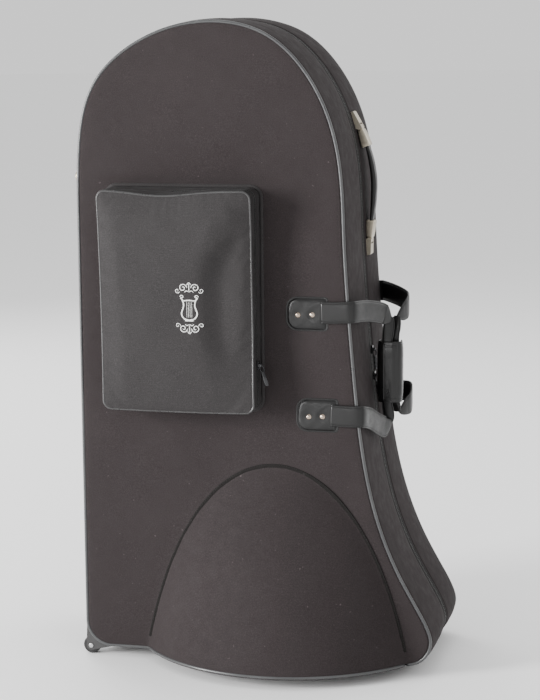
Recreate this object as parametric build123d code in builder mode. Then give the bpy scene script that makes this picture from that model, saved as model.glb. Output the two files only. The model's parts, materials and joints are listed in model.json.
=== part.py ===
from build123d import *
from math import asin, atan2, cos, degrees, hypot, radians, sin, sqrt
import os

# Wheeled zip-round soft case for a large upright bell brass instrument, in millimetres.
# The case stands on two corner wheels and two rubber feet. +Z is up, -Y is the front
# panel with the pocket, +X is the side with the handles and -X is the hinge spine.
# The origin is on the floor, under the middle of the case's bounding box.
os.makedirs("parts", exist_ok=True)

# ---- driving dimensions -------------------------------------------------------------
case_width = 649          # spine to the tip of the bell corner
case_depth = 292          # front panel to back panel, without the bell bulges
parting = 164             # front panel to the zipper line
parting_gap = 0.3         # each half stops this far from the zipper line
foot_height = 20          # shell underside above the floor
heel_radius = 48          # rounded corner above the wheels
toe_radius = 45           # rounded corner beside the bell

cover = 3                 # padded nylon skin
core = 12                 # foam and board walls
lining = 2                # plush inside
wall = cover + core + lining
tape_width = 13           # zipper tape on each half
piping_proud = 1.5        # piping stands this far out of the skin
piping_reach = 5.5        # and runs this far in from the edge

bell_x = 363              # bell axis from the spine
bell_radius = 299         # radius of the bulge across the ridge
bulge_depth = 129         # bulge at the underside
bulge_height = 357        # where the bulge fades into the panel
ridge_radius = 2171       # lengthwise curve of the bulge

strap_width = 39
strap_thick = 2.5
folded_width = 20         # carrying strap folded double inside the grip
folded_thick = 6

wheel_radius = 16.5
wheel_width = 18
axle_radius = 3
axle_x, axle_z = 5.5, -3.5
cheek = 3                 # bracket cheek thickness
cheek_gap = 1             # wheel side clearance
bracket_front = 6         # bracket set back from the panel, behind the piping
running_clearance = 0.05

pocket_x, pocket_z = 199, 659     # pocket centre
pocket_width, pocket_height = 280, 394
pocket_base_depth = 30            # fixed gusset, panel to zipper
pocket_zip = 4                    # zipper coil width
pocket_depth = 63                 # panel to pocket face
pocket_skin = 3
pocket_corner = 16
pocket_fold_x = 190               # the flap folds about this line
pocket_piping = 2
flap_gap = 0.3

left = -(case_width + piping_proud + axle_x - wheel_radius) / 2
front = -case_depth / 2
bottom = foot_height


def at(x, y, z):
    """World point, from distances to the spine, the front panel and the underside."""
    return (left + x, front + y, bottom + z)


def slab(y):
    """Drawing plane seen from the front, y behind the front panel; it extrudes forward."""
    return Plane(origin=at(0, y, 0), x_dir=(1, 0, 0), z_dir=(0, -1, 0))


def level(z):
    """Drawing plane seen from above, z over the underside; it extrudes upward."""
    return Plane(origin=at(0, 0, z))


def section(point, across, travel):
    """Drawing plane at a point of a strap, its width lying along across."""
    return Plane(origin=at(*point), x_dir=across, z_dir=travel)


def save(builder, name):
    """Label a finished piece and write it to its own file."""
    builder.part.label = name
    export_step(builder.part, f"parts/{name}.step")


# ---- case outline, seen from the front ----------------------------------------------
crown = [(0, 800), (3, 920), (34, 1040), (110, 1111), (255, 1150), (350, 1128), (423, 1061)]
waist = [(477, 938), (492, 767), (506, 562), (524, 393)]
flare = [(549, 274), (593, 162), (624, 106), (643, 69), (case_width, toe_radius)]

with BuildLine() as rim_line:
    rim = Spline(*crown, *waist, *flare, tangents=[(0, 1), (0, -1)])
rim_stations = 32


def case_outline(inset):
    """Case outline moved in from the outer face, along the rim's own normals."""
    stations = [step / rim_stations for step in range(rim_stations + 1)]
    headings = [rim % station for station in stations]
    points = [rim @ station + Vector(heading.Y, -heading.X) * inset
              for station, heading in zip(stations, headings)]
    with BuildSketch() as shape:
        with BuildLine():
            spine_edge = Line((inset, heel_radius), points[0])
            Spline(*points, tangents=[(0, 1), (0, -1)])
            toe = RadiusArc(points[-1], (case_width - toe_radius, inset), toe_radius - inset)
            underside = Line(toe @ 1, (heel_radius, inset))
            RadiusArc(underside @ 1, spine_edge @ 0, heel_radius - inset)
        make_face()
    return shape.sketch


outline = case_outline(0)

# ---- bell bulge: a barrel whose ridge rises from the underside to the panel ----------
half_chord = hypot(bulge_depth, bulge_height) / 2
chord_lean = atan2(bulge_depth, bulge_height)
ridge_sag = sqrt(ridge_radius**2 - half_chord**2)
ridge_y = -bulge_depth / 2 + ridge_sag * cos(chord_lean)
ridge_z = bulge_height / 2 - ridge_sag * sin(chord_lean)


def bell_bulge(inset, base):
    """Bulge in front of the panel, set in from its outer face, from height base up."""
    start = asin((-10 - ridge_z) / ridge_radius)
    end = asin((bulge_height + 90 - ridge_z) / ridge_radius)
    tube = ridge_radius - bell_radius
    origin = (bell_x, ridge_y - tube * cos(start), ridge_z + tube * sin(start))
    with BuildPart() as bulge:
        with BuildSketch(section(origin, (1, 0, 0), (0, sin(start), cos(start)))):
            Circle(bell_radius - inset)
        ridge_axis = Axis(at(bell_x, ridge_y, ridge_z), (-1, 0, 0))
        revolve(axis=ridge_axis, revolution_arc=degrees(end - start))
        with BuildSketch(level(base)):
            with Locations((bell_x, inset + 1)):
                Rectangle(2 * bell_radius, 200, align=(Align.CENTER, Align.MAX))
        extrude(amount=bulge_height + 90, mode=Mode.INTERSECT)
    return bulge.part


def half_block(inset, depth):
    """One half of the case as a solid block, out to depth, set in from the skin."""
    with BuildPart() as block:
        with BuildSketch(slab(depth)):
            add(case_outline(inset))
        extrude(amount=depth - inset)
        add(bell_bulge(inset, inset))
    return block.part


# ---- shell halves: the back one is the front one's mirror, cut to its own depth -------
def edge_band():
    """Band along the panel's edge, round the bulge's foot, that the piping fills."""
    with BuildPart() as band:
        with BuildSketch(slab(piping_reach)):
            add(case_outline(-piping_proud))
            add(case_outline(piping_reach), mode=Mode.SUBTRACT)
            with Locations((bell_x, 0)):
                Rectangle(476, 4 * piping_reach, mode=Mode.SUBTRACT)
        extrude(amount=piping_reach + piping_proud)
        add(bulge_foot())
    return band.part


def bulge_foot():
    """Band round the bulge where it meets the underside."""
    with BuildPart() as foot:
        add(bell_bulge(-piping_proud, -piping_proud))
        add(bell_bulge(piping_reach, -2 * piping_proud), mode=Mode.SUBTRACT)
        with BuildSketch(level(-piping_proud)):
            with Locations((bell_x, 0)):
                Rectangle(2 * bell_radius, 200, align=(Align.CENTER, Align.MAX))
        extrude(amount=piping_reach + piping_proud, mode=Mode.INTERSECT)
    return foot.part


def cover_shell(depth):
    """Padded nylon skin, from the piping to the zipper tape."""
    with BuildPart() as shell:
        add(half_block(0, depth - tape_width))
        add(half_block(cover, depth), mode=Mode.SUBTRACT)
        add(edge_band(), mode=Mode.SUBTRACT)
    return shell.part


def edge_piping():
    """Piping sewn into the edge of the skin."""
    with BuildPart() as piping:
        add(edge_band())
        add(half_block(cover, case_depth), mode=Mode.SUBTRACT)
    return piping.part


def ring(outer, inner, near, far):
    """Ring that follows the outline, between two depths."""
    with BuildPart() as band:
        with BuildSketch(slab(far)):
            add(case_outline(outer))
            add(case_outline(inner), mode=Mode.SUBTRACT)
        extrude(amount=far - near)
    return band.part


def panel_core():
    """Board and foam of the big panel and the bell bulge."""
    with BuildPart() as panel:
        add(half_block(cover, cover + core))
        add(half_block(cover + core, case_depth), mode=Mode.SUBTRACT)
    return panel.part


def lining_shell(depth):
    """Plush lining of one half."""
    with BuildPart() as shell:
        add(half_block(cover + core, depth))
        add(half_block(wall, depth + 1), mode=Mode.SUBTRACT)
    return shell.part


spine_low, spine_high = 60, 790


def spine_zone():
    """Box over the fabric hinge, where there is no zipper."""
    with BuildPart() as zone:
        with BuildSketch(level(spine_low)):
            Rectangle(40, 4 * case_depth)
        extrude(amount=spine_high - spine_low)
    return zone.part


def zip_tape(depth):
    """Fabric tape of one zipper side, all round but for the spine."""
    with BuildPart() as tape:
        add(ring(1, cover, depth - tape_width, depth))
        add(spine_zone(), mode=Mode.SUBTRACT)
    return tape.part


def zip_coil(depth):
    """Coil of one zipper side, on the outer face of its tape."""
    with BuildPart() as coil:
        add(ring(-0.5, 1, depth - 2.6, depth))
        add(spine_zone(), mode=Mode.SUBTRACT)
    return coil.part


def spine_strip(depth):
    """Fabric strip along the spine; the two halves fold about its outer face."""
    with BuildPart() as strip:
        add(ring(0, cover, depth - tape_width, depth))
        add(spine_zone(), mode=Mode.INTERSECT)
    return strip.part


front_depth = parting - parting_gap
back_depth = case_depth - parting - parting_gap
lining_set_back = 3

shell_pieces = {
    "cover": [cover_shell(front_depth), cover_shell(back_depth)],
    "piping": [edge_piping()] * 2,
    "wall_core": [ring(cover, cover + core, cover + core, d) for d in (front_depth, back_depth)],
    "panel_core": [panel_core()] * 2,
    "lining": [lining_shell(d - lining_set_back) for d in (front_depth, back_depth)],
    "zip_tape": [zip_tape(front_depth), zip_tape(back_depth)],
    "zip_coil": [zip_coil(front_depth), zip_coil(back_depth)],
    "spine": [spine_strip(front_depth), spine_strip(back_depth)],
}
for piece_name, (front_shape, back_shape) in shell_pieces.items():
    with BuildPart() as front_piece:
        add(front_shape)
    save(front_piece, f"front_{piece_name}")
    with BuildPart() as back_piece:
        mirror(back_shape, about=Plane.XZ)
    save(back_piece, f"back_{piece_name}")


# ---- corner wheels ------------------------------------------------------------------
bracket_depth = 2 * cheek + 2 * cheek_gap + wheel_width
bracket_back = bracket_front + bracket_depth
side_leg, sole_leg = 46, 52       # how far the bracket runs up the spine and along the sole
plate = 1.5


def bracket_profile():
    """Cheek of the corner bracket: round the axle and along both faces of the case."""
    with BuildSketch() as profile:
        with Locations((axle_x, axle_z)):
            Circle(9)
        with Locations((0, side_leg - plate), (sole_leg - plate, 0)):
            Circle(plate)
        make_hull()
        add(outline, mode=Mode.SUBTRACT)
    return profile.sketch


bracket_screw_spots = [((0, 40), (-1, 0, 0)), ((46, 0), (0, 0, -1))]
screw_y = bracket_front + bracket_depth / 2


def screw_plane(spot, facing):
    """Plane of one bracket screw, on the outer face of the bracket's base plate."""
    return Plane(origin=at(spot[0], screw_y, spot[1]), z_dir=facing)


def wheel_bracket():
    """Moulded corner housing: two cheeks and a base plate hugging the corner."""
    with BuildPart() as bracket:
        for back in (bracket_front + cheek, bracket_back):
            with BuildSketch(slab(back)):
                add(bracket_profile())
            extrude(amount=cheek)
        with BuildSketch(slab(bracket_back)):
            add(case_outline(-plate))
            add(outline, mode=Mode.SUBTRACT)
            Rectangle(2 * sole_leg, 2 * side_leg, mode=Mode.INTERSECT)
        extrude(amount=bracket_depth)
        with Locations(Plane(origin=at(axle_x, bracket_front, axle_z), z_dir=(0, 1, 0))):
            Hole(axle_radius, depth=bracket_depth)
        for spot, facing in bracket_screw_spots:
            with BuildSketch(screw_plane(spot, facing)):
                Circle(2)
            extrude(amount=plate, mode=Mode.SUBTRACT)
    return bracket.part


def wheel_axle():
    """Riveted axle with a rounded head outside each cheek."""
    head_radius, head_height = 4.5, 1.5
    with BuildPart() as axle:
        with BuildSketch(Plane(origin=at(axle_x, bracket_front, axle_z), z_dir=(0, 1, 0))):
            Circle(axle_radius)
        extrude(amount=bracket_depth)
        for head_y in (bracket_front - head_height, bracket_back):
            with BuildSketch(Plane(origin=at(axle_x, head_y, axle_z), z_dir=(0, 1, 0))):
                Circle(head_radius)
            extrude(amount=head_height)
        for outer_face in (axle.faces().sort_by(Axis.Y)[0], axle.faces().sort_by(Axis.Y)[-1]):
            fillet(outer_face.edges(), radius=1)
    return axle.part


wheel_near = bracket_front + cheek + cheek_gap
hub_radius = 10


def wheel_plane():
    return Plane(origin=at(axle_x, wheel_near, axle_z), x_dir=(1, 0, 0), z_dir=(0, 1, 0))


def wheel_hub():
    """Plastic hub with a running bore and a dished web."""
    with BuildPart() as hub:
        with BuildSketch(wheel_plane()):
            Circle(hub_radius)
            Circle(axle_radius + running_clearance, mode=Mode.SUBTRACT)
        extrude(amount=wheel_width)
        for face_y in (wheel_near, wheel_near + wheel_width - 3):
            with BuildSketch(Plane(origin=at(axle_x, face_y, axle_z), z_dir=(0, 1, 0))):
                Circle(hub_radius - 1.8)
                Circle(axle_radius + 1.8, mode=Mode.SUBTRACT)
            extrude(amount=3, mode=Mode.SUBTRACT)
    return hub.part


def wheel_tyre():
    """Rubber tyre, its tread edges rounded."""
    with BuildPart() as tyre:
        with BuildSketch(wheel_plane()):
            Circle(wheel_radius)
            Circle(hub_radius, mode=Mode.SUBTRACT)
        extrude(amount=wheel_width)
        fillet(tyre.edges().filter_by(GeomType.CIRCLE).group_by(SortBy.RADIUS)[-1], radius=3)
    return tyre.part


# ---- feet and side studs --------------------------------------------------------------
foot_x, foot_y = 560, 74
stud_y, stud_z = 14, 874


def rubber_foot():
    """Tapered rubber foot under the bell side."""
    with BuildPart() as foot:
        with BuildSketch(level(0)):
            with Locations((foot_x, foot_y)):
                Circle(21)
        with BuildSketch(level(-foot_height)):
            with Locations((foot_x, foot_y)):
                Circle(17)
        loft()
        fillet(foot.edges().group_by(Axis.Z)[0], radius=2)
    return foot.part


def side_stud():
    """Domed stud on the spine side, for laying the case down."""
    with BuildPart() as stud:
        with BuildSketch(Plane(origin=at(0, stud_y, stud_z), z_dir=(-1, 0, 0))):
            Circle(8.5)
        extrude(amount=5.5)
        fillet(stud.faces().sort_by(Axis.X)[0].edges(), radius=3)
        extrude(stud.faces().sort_by(Axis.X)[-1], amount=3)
        add(half_block(0, case_depth), mode=Mode.SUBTRACT)
    return stud.part


# ---- leather patches and carrying straps ----------------------------------------------
patch_thick = 5
notch_clearance = 1
patches = {
    "upper": {"x": 385, "z": 635, "rivets": [(408, 633), (434, 634)], "exit_x": 447.5, "exit_z": 638},
    "lower": {"x": 403, "z": 453, "rivets": [(427, 450), (452, 451)], "exit_x": 464.5, "exit_z": 454},
}
patch_length, patch_height = 78, 62


def leather_patch(spec):
    """Padded patch with rounded spine-side corners and a notch where the strap leaves it."""
    right = spec["x"] + patch_length
    low, high = spec["z"] - patch_height / 2, spec["z"] + patch_height / 2
    with BuildPart() as patch:
        with BuildSketch(slab(0)) as face:
            with BuildLine():
                Polyline((spec["x"], low), (right, low), (right, high), (spec["x"], high), close=True)
            make_face()
            fillet(face.vertices().group_by(Axis.X)[0], radius=20)
            fillet(face.vertices().group_by(Axis.X)[-1], radius=6)
            with Locations((spec["exit_x"] - notch_clearance, spec["exit_z"])):
                Rectangle(60, strap_width + 2 * notch_clearance, align=(Align.MIN, Align.CENTER),
                          mode=Mode.SUBTRACT)
            with Locations(*spec["rivets"]):
                Circle(2, mode=Mode.SUBTRACT)
        extrude(amount=patch_thick)
        chamfer(patch.faces().sort_by(Axis.Y)[0].outer_wire().edges(), length=1)
    return patch.part


def fasteners():
    """Rivets through the patches and screws in the wheel bracket, of one half."""
    with BuildPart() as group:
        with BuildSketch(slab(0)):
            with Locations(*patches["upper"]["rivets"], *patches["lower"]["rivets"]):
                Circle(2)
        extrude(amount=patch_thick)
        with BuildSketch(slab(-patch_thick)):
            with Locations(*patches["upper"]["rivets"], *patches["lower"]["rivets"]):
                Circle(5)
        extrude(amount=2.4, taper=35)
        for spot, facing in bracket_screw_spots:
            with BuildSketch(screw_plane(spot, facing)):
                Circle(2)
            extrude(amount=plate)
            with BuildSketch(screw_plane(spot, facing).offset(plate)):
                Circle(3.5)
            extrude(amount=1.8, taper=30)
    return group.part


def strap_run(stations):
    """Flat strap through a list of (point, travel) stations, its width upright."""
    with BuildPart() as run:
        for stretch in zip(stations, stations[1:]):
            for point, travel in stretch:
                with BuildSketch(section(point, (0, 0, 1), travel)):
                    Rectangle(strap_width, strap_thick)
            loft()
    return run.part


def folded_run(x, y, low, high):
    """Upright stretch of strap folded double, where the hand holds it."""
    with BuildPart() as run:
        with BuildSketch(level(low)):
            with Locations((x, y)):
                Rectangle(folded_width, folded_thick)
        extrude(amount=high - low)
    return run.part


strap_lift = patch_thick / 2 + 0.8    # strap's middle above the skin, over the piping
grip_x, grip_y = 548, 141
grip_low, grip_high = 456, 570
grip_size = (46, 36)
grip_wall = 3
front_band_x = 544
front_band_y = grip_y - grip_size[1] / 2 + grip_wall + folded_thick / 2
back_band_x, back_band_y = 553.5, grip_y + 5
turn = 6                              # strap turns the panel's edge this far outside it

front_upper_run = [
    ((447.5, -strap_lift, 638), (1, 0, 0)),
    ((504, -strap_lift, 640), (1, 0, 0)),
    ((504 + turn, 3, 640), (0.5, 0.86, 0)),
    ((546, grip_y - 8, 609), (0.28, 0.96, 0)),
]
front_lower_run = [
    ((464.5, -strap_lift, 454), (1, 0, 0)),
    ((521, -strap_lift, 453), (1, 0, 0)),
    ((521 + turn, 3, 453), (0.5, 0.86, 0)),
    ((548, grip_y - 8, 412), (0.2, 0.98, 0)),
]
back_edge = case_depth + strap_lift
back_upper_run = [
    ((447.5, back_edge, 638), (1, 0, 0)),
    ((504, back_edge, 640), (1, 0, 0)),
    ((504 + turn, case_depth - 3, 640), (0.7, -0.7, 0)),
    ((570, 205, 631), (0.25, -0.97, 0)),
    ((558, grip_y + 6, 612), (-0.3, -0.95, 0)),
]
back_lower_run = [
    ((464.5, back_edge, 454), (1, 0, 0)),
    ((521, back_edge, 453), (1, 0, 0)),
    ((521 + turn, case_depth - 3, 453), (0.7, -0.7, 0)),
    ((576, 212, 461), (0.25, -0.97, 0)),
    ((560, grip_y + 6, 436), (-0.3, -0.95, 0)),
]

with BuildPart() as front_strap:
    add(strap_run(front_upper_run))
    add(strap_run(front_lower_run))
    add(folded_run(front_band_x, front_band_y, 398, 622))
save(front_strap, "front_strap")

with BuildPart() as back_strap:
    add(strap_run(back_upper_run))
    add(strap_run(back_lower_run))
    add(folded_run(back_band_x, back_band_y, 424, 625))
save(back_strap, "back_strap")

# Grip wrap: open towards the back, so that the back strap leaves it when the lid swings.
with BuildPart() as grip_wrap:
    with BuildSketch(level(grip_low)):
        with Locations((grip_x, grip_y)):
            RectangleRounded(*grip_size, 8)
            RectangleRounded(grip_size[0] - 2 * grip_wall, grip_size[1] - 2 * grip_wall, 5,
                             mode=Mode.SUBTRACT)
        with Locations((back_band_x, grip_y + grip_size[1] / 2)):
            Rectangle(folded_width + 5, 2 * grip_wall + 6, mode=Mode.SUBTRACT)
    extrude(amount=grip_high - grip_low)
save(grip_wrap, "grip_wrap")

hardware = {
    "wheel_bracket": wheel_bracket(),
    "axle": wheel_axle(),
    "wheel_hub": wheel_hub(),
    "wheel_tyre": wheel_tyre(),
    "foot": rubber_foot(),
    "side_stud": side_stud(),
    "upper_patch": leather_patch(patches["upper"]),
    "lower_patch": leather_patch(patches["lower"]),
    "fasteners": fasteners(),
}
for piece_name, shape in hardware.items():
    with BuildPart() as front_piece:
        add(shape)
    save(front_piece, f"front_{piece_name}")
    with BuildPart() as back_piece:
        mirror(shape, about=Plane.XZ)
    save(back_piece, f"back_{piece_name}")


# ---- luggage handle on the back half, just behind the zipper ---------------------------
handle_near, handle_far = 184, 210
strip_near, strip_far = 188, 206
upper_pivot, lower_pivot = (482, 954), (499.5, 748)
upper_tip, lower_tip = (494, 920), (502, 783)
strip_arc = [(491, 928), (504.5, 852), (501.5, 775)]
strip_thickness = 3.2
pin_radius = 1.5
cap_thick = 13
socket = 7.6
socket_depth = 12


def along(start, end):
    """Unit direction from start to end, in the outline's plane."""
    length = hypot(end[0] - start[0], end[1] - start[1])
    return ((end[0] - start[0]) / length, (end[1] - start[1]) / length)


def handle_base(centre, lean, pivot, name):
    """Metal base cap on the case wall, with two ears that hold the end cap's pin."""
    with BuildPart() as base:
        with BuildSketch(slab(handle_far)):
            with Locations(Location((*centre, 0), (0, 0, lean))):
                RectangleRounded(16, 26, 3)
            with Locations(pivot):
                Circle(4.2)
            make_hull()
            add(outline, mode=Mode.SUBTRACT)
        extrude(amount=handle_far - handle_near)
        with BuildSketch(slab(handle_far - 4)):
            with Locations(pivot):
                Circle(8.2)
        extrude(amount=handle_far - handle_near - 8, mode=Mode.SUBTRACT)
        with BuildSketch(slab(handle_far)):
            with Locations(pivot):
                Circle(pin_radius)
        extrude(amount=handle_far - handle_near)
    save(base, name)


def handle_end(pivot, tip, name):
    """Metal end cap: a barrel on the base's pin and a socket for the strip's end."""
    direction = along(pivot, tip)
    lean = degrees(atan2(direction[1], direction[0])) - 90
    length = hypot(tip[0] - pivot[0], tip[1] - pivot[1])
    mouth = (tip[0] - direction[0] * socket_depth / 2, tip[1] - direction[1] * socket_depth / 2)
    neck = (pivot[0] + direction[0] * 10, pivot[1] + direction[1] * 10)
    middle = ((neck[0] + tip[0]) / 2, (neck[1] + tip[1]) / 2)
    with BuildPart() as end:
        with BuildSketch(slab(handle_far)):
            with Locations(Location((*middle, 0), (0, 0, lean))):
                RectangleRounded(cap_thick, length - 10, 3)
        extrude(amount=handle_far - handle_near)
        with BuildSketch(slab(handle_far - 4.5)):
            with Locations(pivot):
                Circle(4)
            with Locations(neck):
                Circle(4)
            make_hull()
        extrude(amount=handle_far - handle_near - 9)
        with BuildSketch(slab(handle_far)):
            with Locations(pivot):
                Circle(pin_radius + running_clearance)
        extrude(amount=handle_far - handle_near, mode=Mode.SUBTRACT)
        with BuildSketch(slab(strip_far + 0.5)):
            with Locations(Location((*mouth, 0), (0, 0, lean))):
                Rectangle(socket, socket_depth + 2)
        extrude(amount=strip_far - strip_near + 1, mode=Mode.SUBTRACT)
    save(end, name)


handle_base((467, 969), 18, upper_pivot, "handle_base_upper")
handle_base((494.5, 733), 4, lower_pivot, "handle_base_lower")
handle_end(upper_pivot, upper_tip, "handle_end_upper")
handle_end(lower_pivot, lower_tip, "handle_end_lower")

with BuildPart() as handle_strip:
    with BuildSketch(slab(strip_far)):
        with BuildLine():
            ThreePointArc(*strip_arc)
        trace(line_width=strip_thickness)
    extrude(amount=strip_far - strip_near)
save(handle_strip, "handle_strip")


# ---- zipper sliders with hanging pulls --------------------------------------------------
def zip_slider(x, y, z, width, name):
    """Slider body on the coil, with two ears and a pin for the pull."""
    with BuildPart() as slider:
        with Locations(at(x, y, z)):
            Box(2.6, width, 15, align=(Align.MIN, Align.CENTER, Align.CENTER))
        with Locations(at(x + 2.6, y - 3.4, z), at(x + 2.6, y + 3.4, z)):
            Box(4.4, 1.4, 5, align=(Align.MIN, Align.CENTER, Align.CENTER))
        with BuildSketch(Plane(origin=at(x + 5, y - 3.6, z), z_dir=(0, 1, 0))):
            Circle(0.8)
        extrude(amount=7.2)
    save(slider, name)


def zip_pull(x, y, z, name):
    """Pull tab hanging from the slider's pin."""
    with BuildPart() as pull:
        with BuildSketch(Plane(origin=at(x + 5, y - 2.4, z), x_dir=(1, 0, 0), z_dir=(0, 1, 0))):
            Circle(2.1)
            with Locations((0, 4)):
                Rectangle(1.8, 8)
            Circle(0.8 + running_clearance, mode=Mode.SUBTRACT)
        extrude(amount=4.8)
        with Locations(at(x + 5, y, z - 7)):
            Box(2.6, 8, 29, align=(Align.CENTER, Align.CENTER, Align.MAX))
        fillet(pull.edges().filter_by(Axis.X).group_by(Axis.Z)[0], radius=3)
    save(pull, name)


slider_seats = {
    "upper_zip": (508.6, parting, 548, 9),
    "lower_zip": (512.9, parting, 500, 9),
    "pocket_zip": (pocket_x + pocket_width / 2 + 1.9, -pocket_base_depth - 1.5, 545, 9.6),
}
for seat_name, (seat_x, seat_y, seat_z, seat_width) in slider_seats.items():
    zip_slider(seat_x, seat_y, seat_z, seat_width, f"{seat_name}_slider")
    zip_pull(seat_x, seat_y, seat_z, f"{seat_name}_pull")


# ---- front pocket -----------------------------------------------------------------------
def pocket_outline(grow):
    """Rounded rectangle of the pocket, grown outward."""
    with BuildSketch() as shape:
        with Locations((pocket_x, pocket_z)):
            RectangleRounded(pocket_width + 2 * grow, pocket_height + 2 * grow, pocket_corner + grow)
    return shape.sketch


def pocket_ring(outer, inner, near, far):
    """Pocket-shaped ring from far to near, both in front of the panel."""
    with BuildPart() as band:
        with BuildSketch(slab(-far)):
            add(pocket_outline(outer))
            add(pocket_outline(inner), mode=Mode.SUBTRACT)
        extrude(amount=near - far)
    return band.part


def pocket_side(sign):
    """Box over the fixed side (-1) or the flap side (+1) of the fold line."""
    with BuildPart() as side:
        with BuildSketch(slab(0)):
            with Locations((pocket_fold_x + sign * flap_gap, pocket_z)):
                edge = Align.MIN if sign > 0 else Align.MAX
                Rectangle(400, 500, align=(edge, Align.CENTER))
        extrude(amount=100)
    return side.part


def pocket_lid(near):
    """Pocket face with its gusset, back to near."""
    with BuildPart() as lid:
        with BuildSketch(slab(-near)):
            add(pocket_outline(0))
        extrude(amount=pocket_depth - near)
        with BuildSketch(slab(-near)):
            add(pocket_outline(-pocket_skin))
        extrude(amount=pocket_depth - near - pocket_skin, mode=Mode.SUBTRACT)
    return lid.part


with BuildPart() as pocket_base:
    add(pocket_ring(0, -pocket_skin, pocket_base_depth, 0))
    add(pocket_ring(6, -pocket_skin, 2, 0))
save(pocket_base, "pocket_base")

with BuildPart() as pocket_zip_coil:
    add(pocket_ring(1.2, -pocket_skin, pocket_base_depth + pocket_zip, pocket_base_depth))
    add(pocket_side(1), mode=Mode.INTERSECT)
save(pocket_zip_coil, "pocket_zip_coil")

pocket_halves = {
    "pocket_fixed": (-1, pocket_base_depth),
    "pocket_flap": (1, pocket_base_depth + pocket_zip + flap_gap),
}
for half_name, (side_sign, gusset_near) in pocket_halves.items():
    with BuildPart() as pocket_half:
        add(pocket_lid(gusset_near))
        add(pocket_side(side_sign), mode=Mode.INTERSECT)
    save(pocket_half, half_name)
    with BuildPart() as pocket_trim:
        add(pocket_ring(pocket_piping, -pocket_skin, pocket_depth + pocket_piping,
                        pocket_depth - pocket_skin))
        add(pocket_lid(pocket_base_depth), mode=Mode.SUBTRACT)
        add(pocket_side(side_sign), mode=Mode.INTERSECT)
    save(pocket_trim, f"{half_name}_piping")

# Embroidered lyre on the flap, a plain musical ornament.
emblem_x, emblem_z = 228, 652
with BuildPart() as pocket_emblem:
    with BuildSketch(slab(-pocket_depth)):
        with Locations((emblem_x, emblem_z)):
            Ellipse(24, 34)
            Ellipse(17, 28, mode=Mode.SUBTRACT)
            Rectangle(40, 5)
            Rectangle(4, 66)
    extrude(amount=0.8)
save(pocket_emblem, "pocket_emblem")


# ---- foam and straps inside the back half -----------------------------------------------
inner_back = case_depth - wall
bow_centre, bow_radius = (240, 900), 175
with BuildPart() as bow_cradle:
    with BuildSketch(slab(inner_back)):
        add(case_outline(wall + 0.5))
        with Locations(bow_centre):
            Circle(bow_radius, mode=Mode.SUBTRACT)
        with Locations((case_width / 2, 0)):
            Rectangle(2 * case_width, 2 * 985, mode=Mode.SUBTRACT)
    extrude(amount=60)
    fillet(bow_cradle.faces().sort_by(Axis.Y)[0].edges(), radius=8)
save(bow_cradle, "bow_cradle")

throat_x, throat_y, throat_radius = 270, 190, 78
cradle_low, cradle_high = 395, 445
with BuildPart() as throat_cradle:
    with BuildSketch(slab(inner_back)):
        add(case_outline(wall + 0.5))
        with Locations((case_width / 2, (cradle_low + cradle_high) / 2)):
            Rectangle(case_width, cradle_high - cradle_low, mode=Mode.INTERSECT)
    extrude(amount=inner_back - throat_y)
    with BuildSketch(level(cradle_low)):
        with Locations((throat_x, throat_y)):
            Circle(throat_radius)
    extrude(amount=cradle_high - cradle_low, mode=Mode.SUBTRACT)
save(throat_cradle, "throat_cradle")


def retaining_strap(ends, crest, z, name):
    """Hook-and-loop strap that arches over the instrument, across the case."""
    with BuildPart() as strap:
        with BuildSketch(level(z)):
            with BuildLine():
                ThreePointArc(ends[0], crest, ends[1])
            trace(line_width=strap_thick)
        extrude(amount=38)
    save(strap, name)


strap_end_y = throat_y - 3
retaining_strap([(throat_x - 92, strap_end_y), (throat_x + 92, strap_end_y)],
                (throat_x, strap_end_y - 45), 401, "throat_strap")
retaining_strap([(110, inner_back - 3), (370, inner_back - 3)], (240, inner_back - 70), 860, "bow_strap")
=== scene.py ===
import json
import math
import bpy
import bmesh
import numpy as np
from mathutils import Matrix, Vector
from mathutils.bvhtree import BVHTree
from mathutils.kdtree import KDTree

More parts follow.
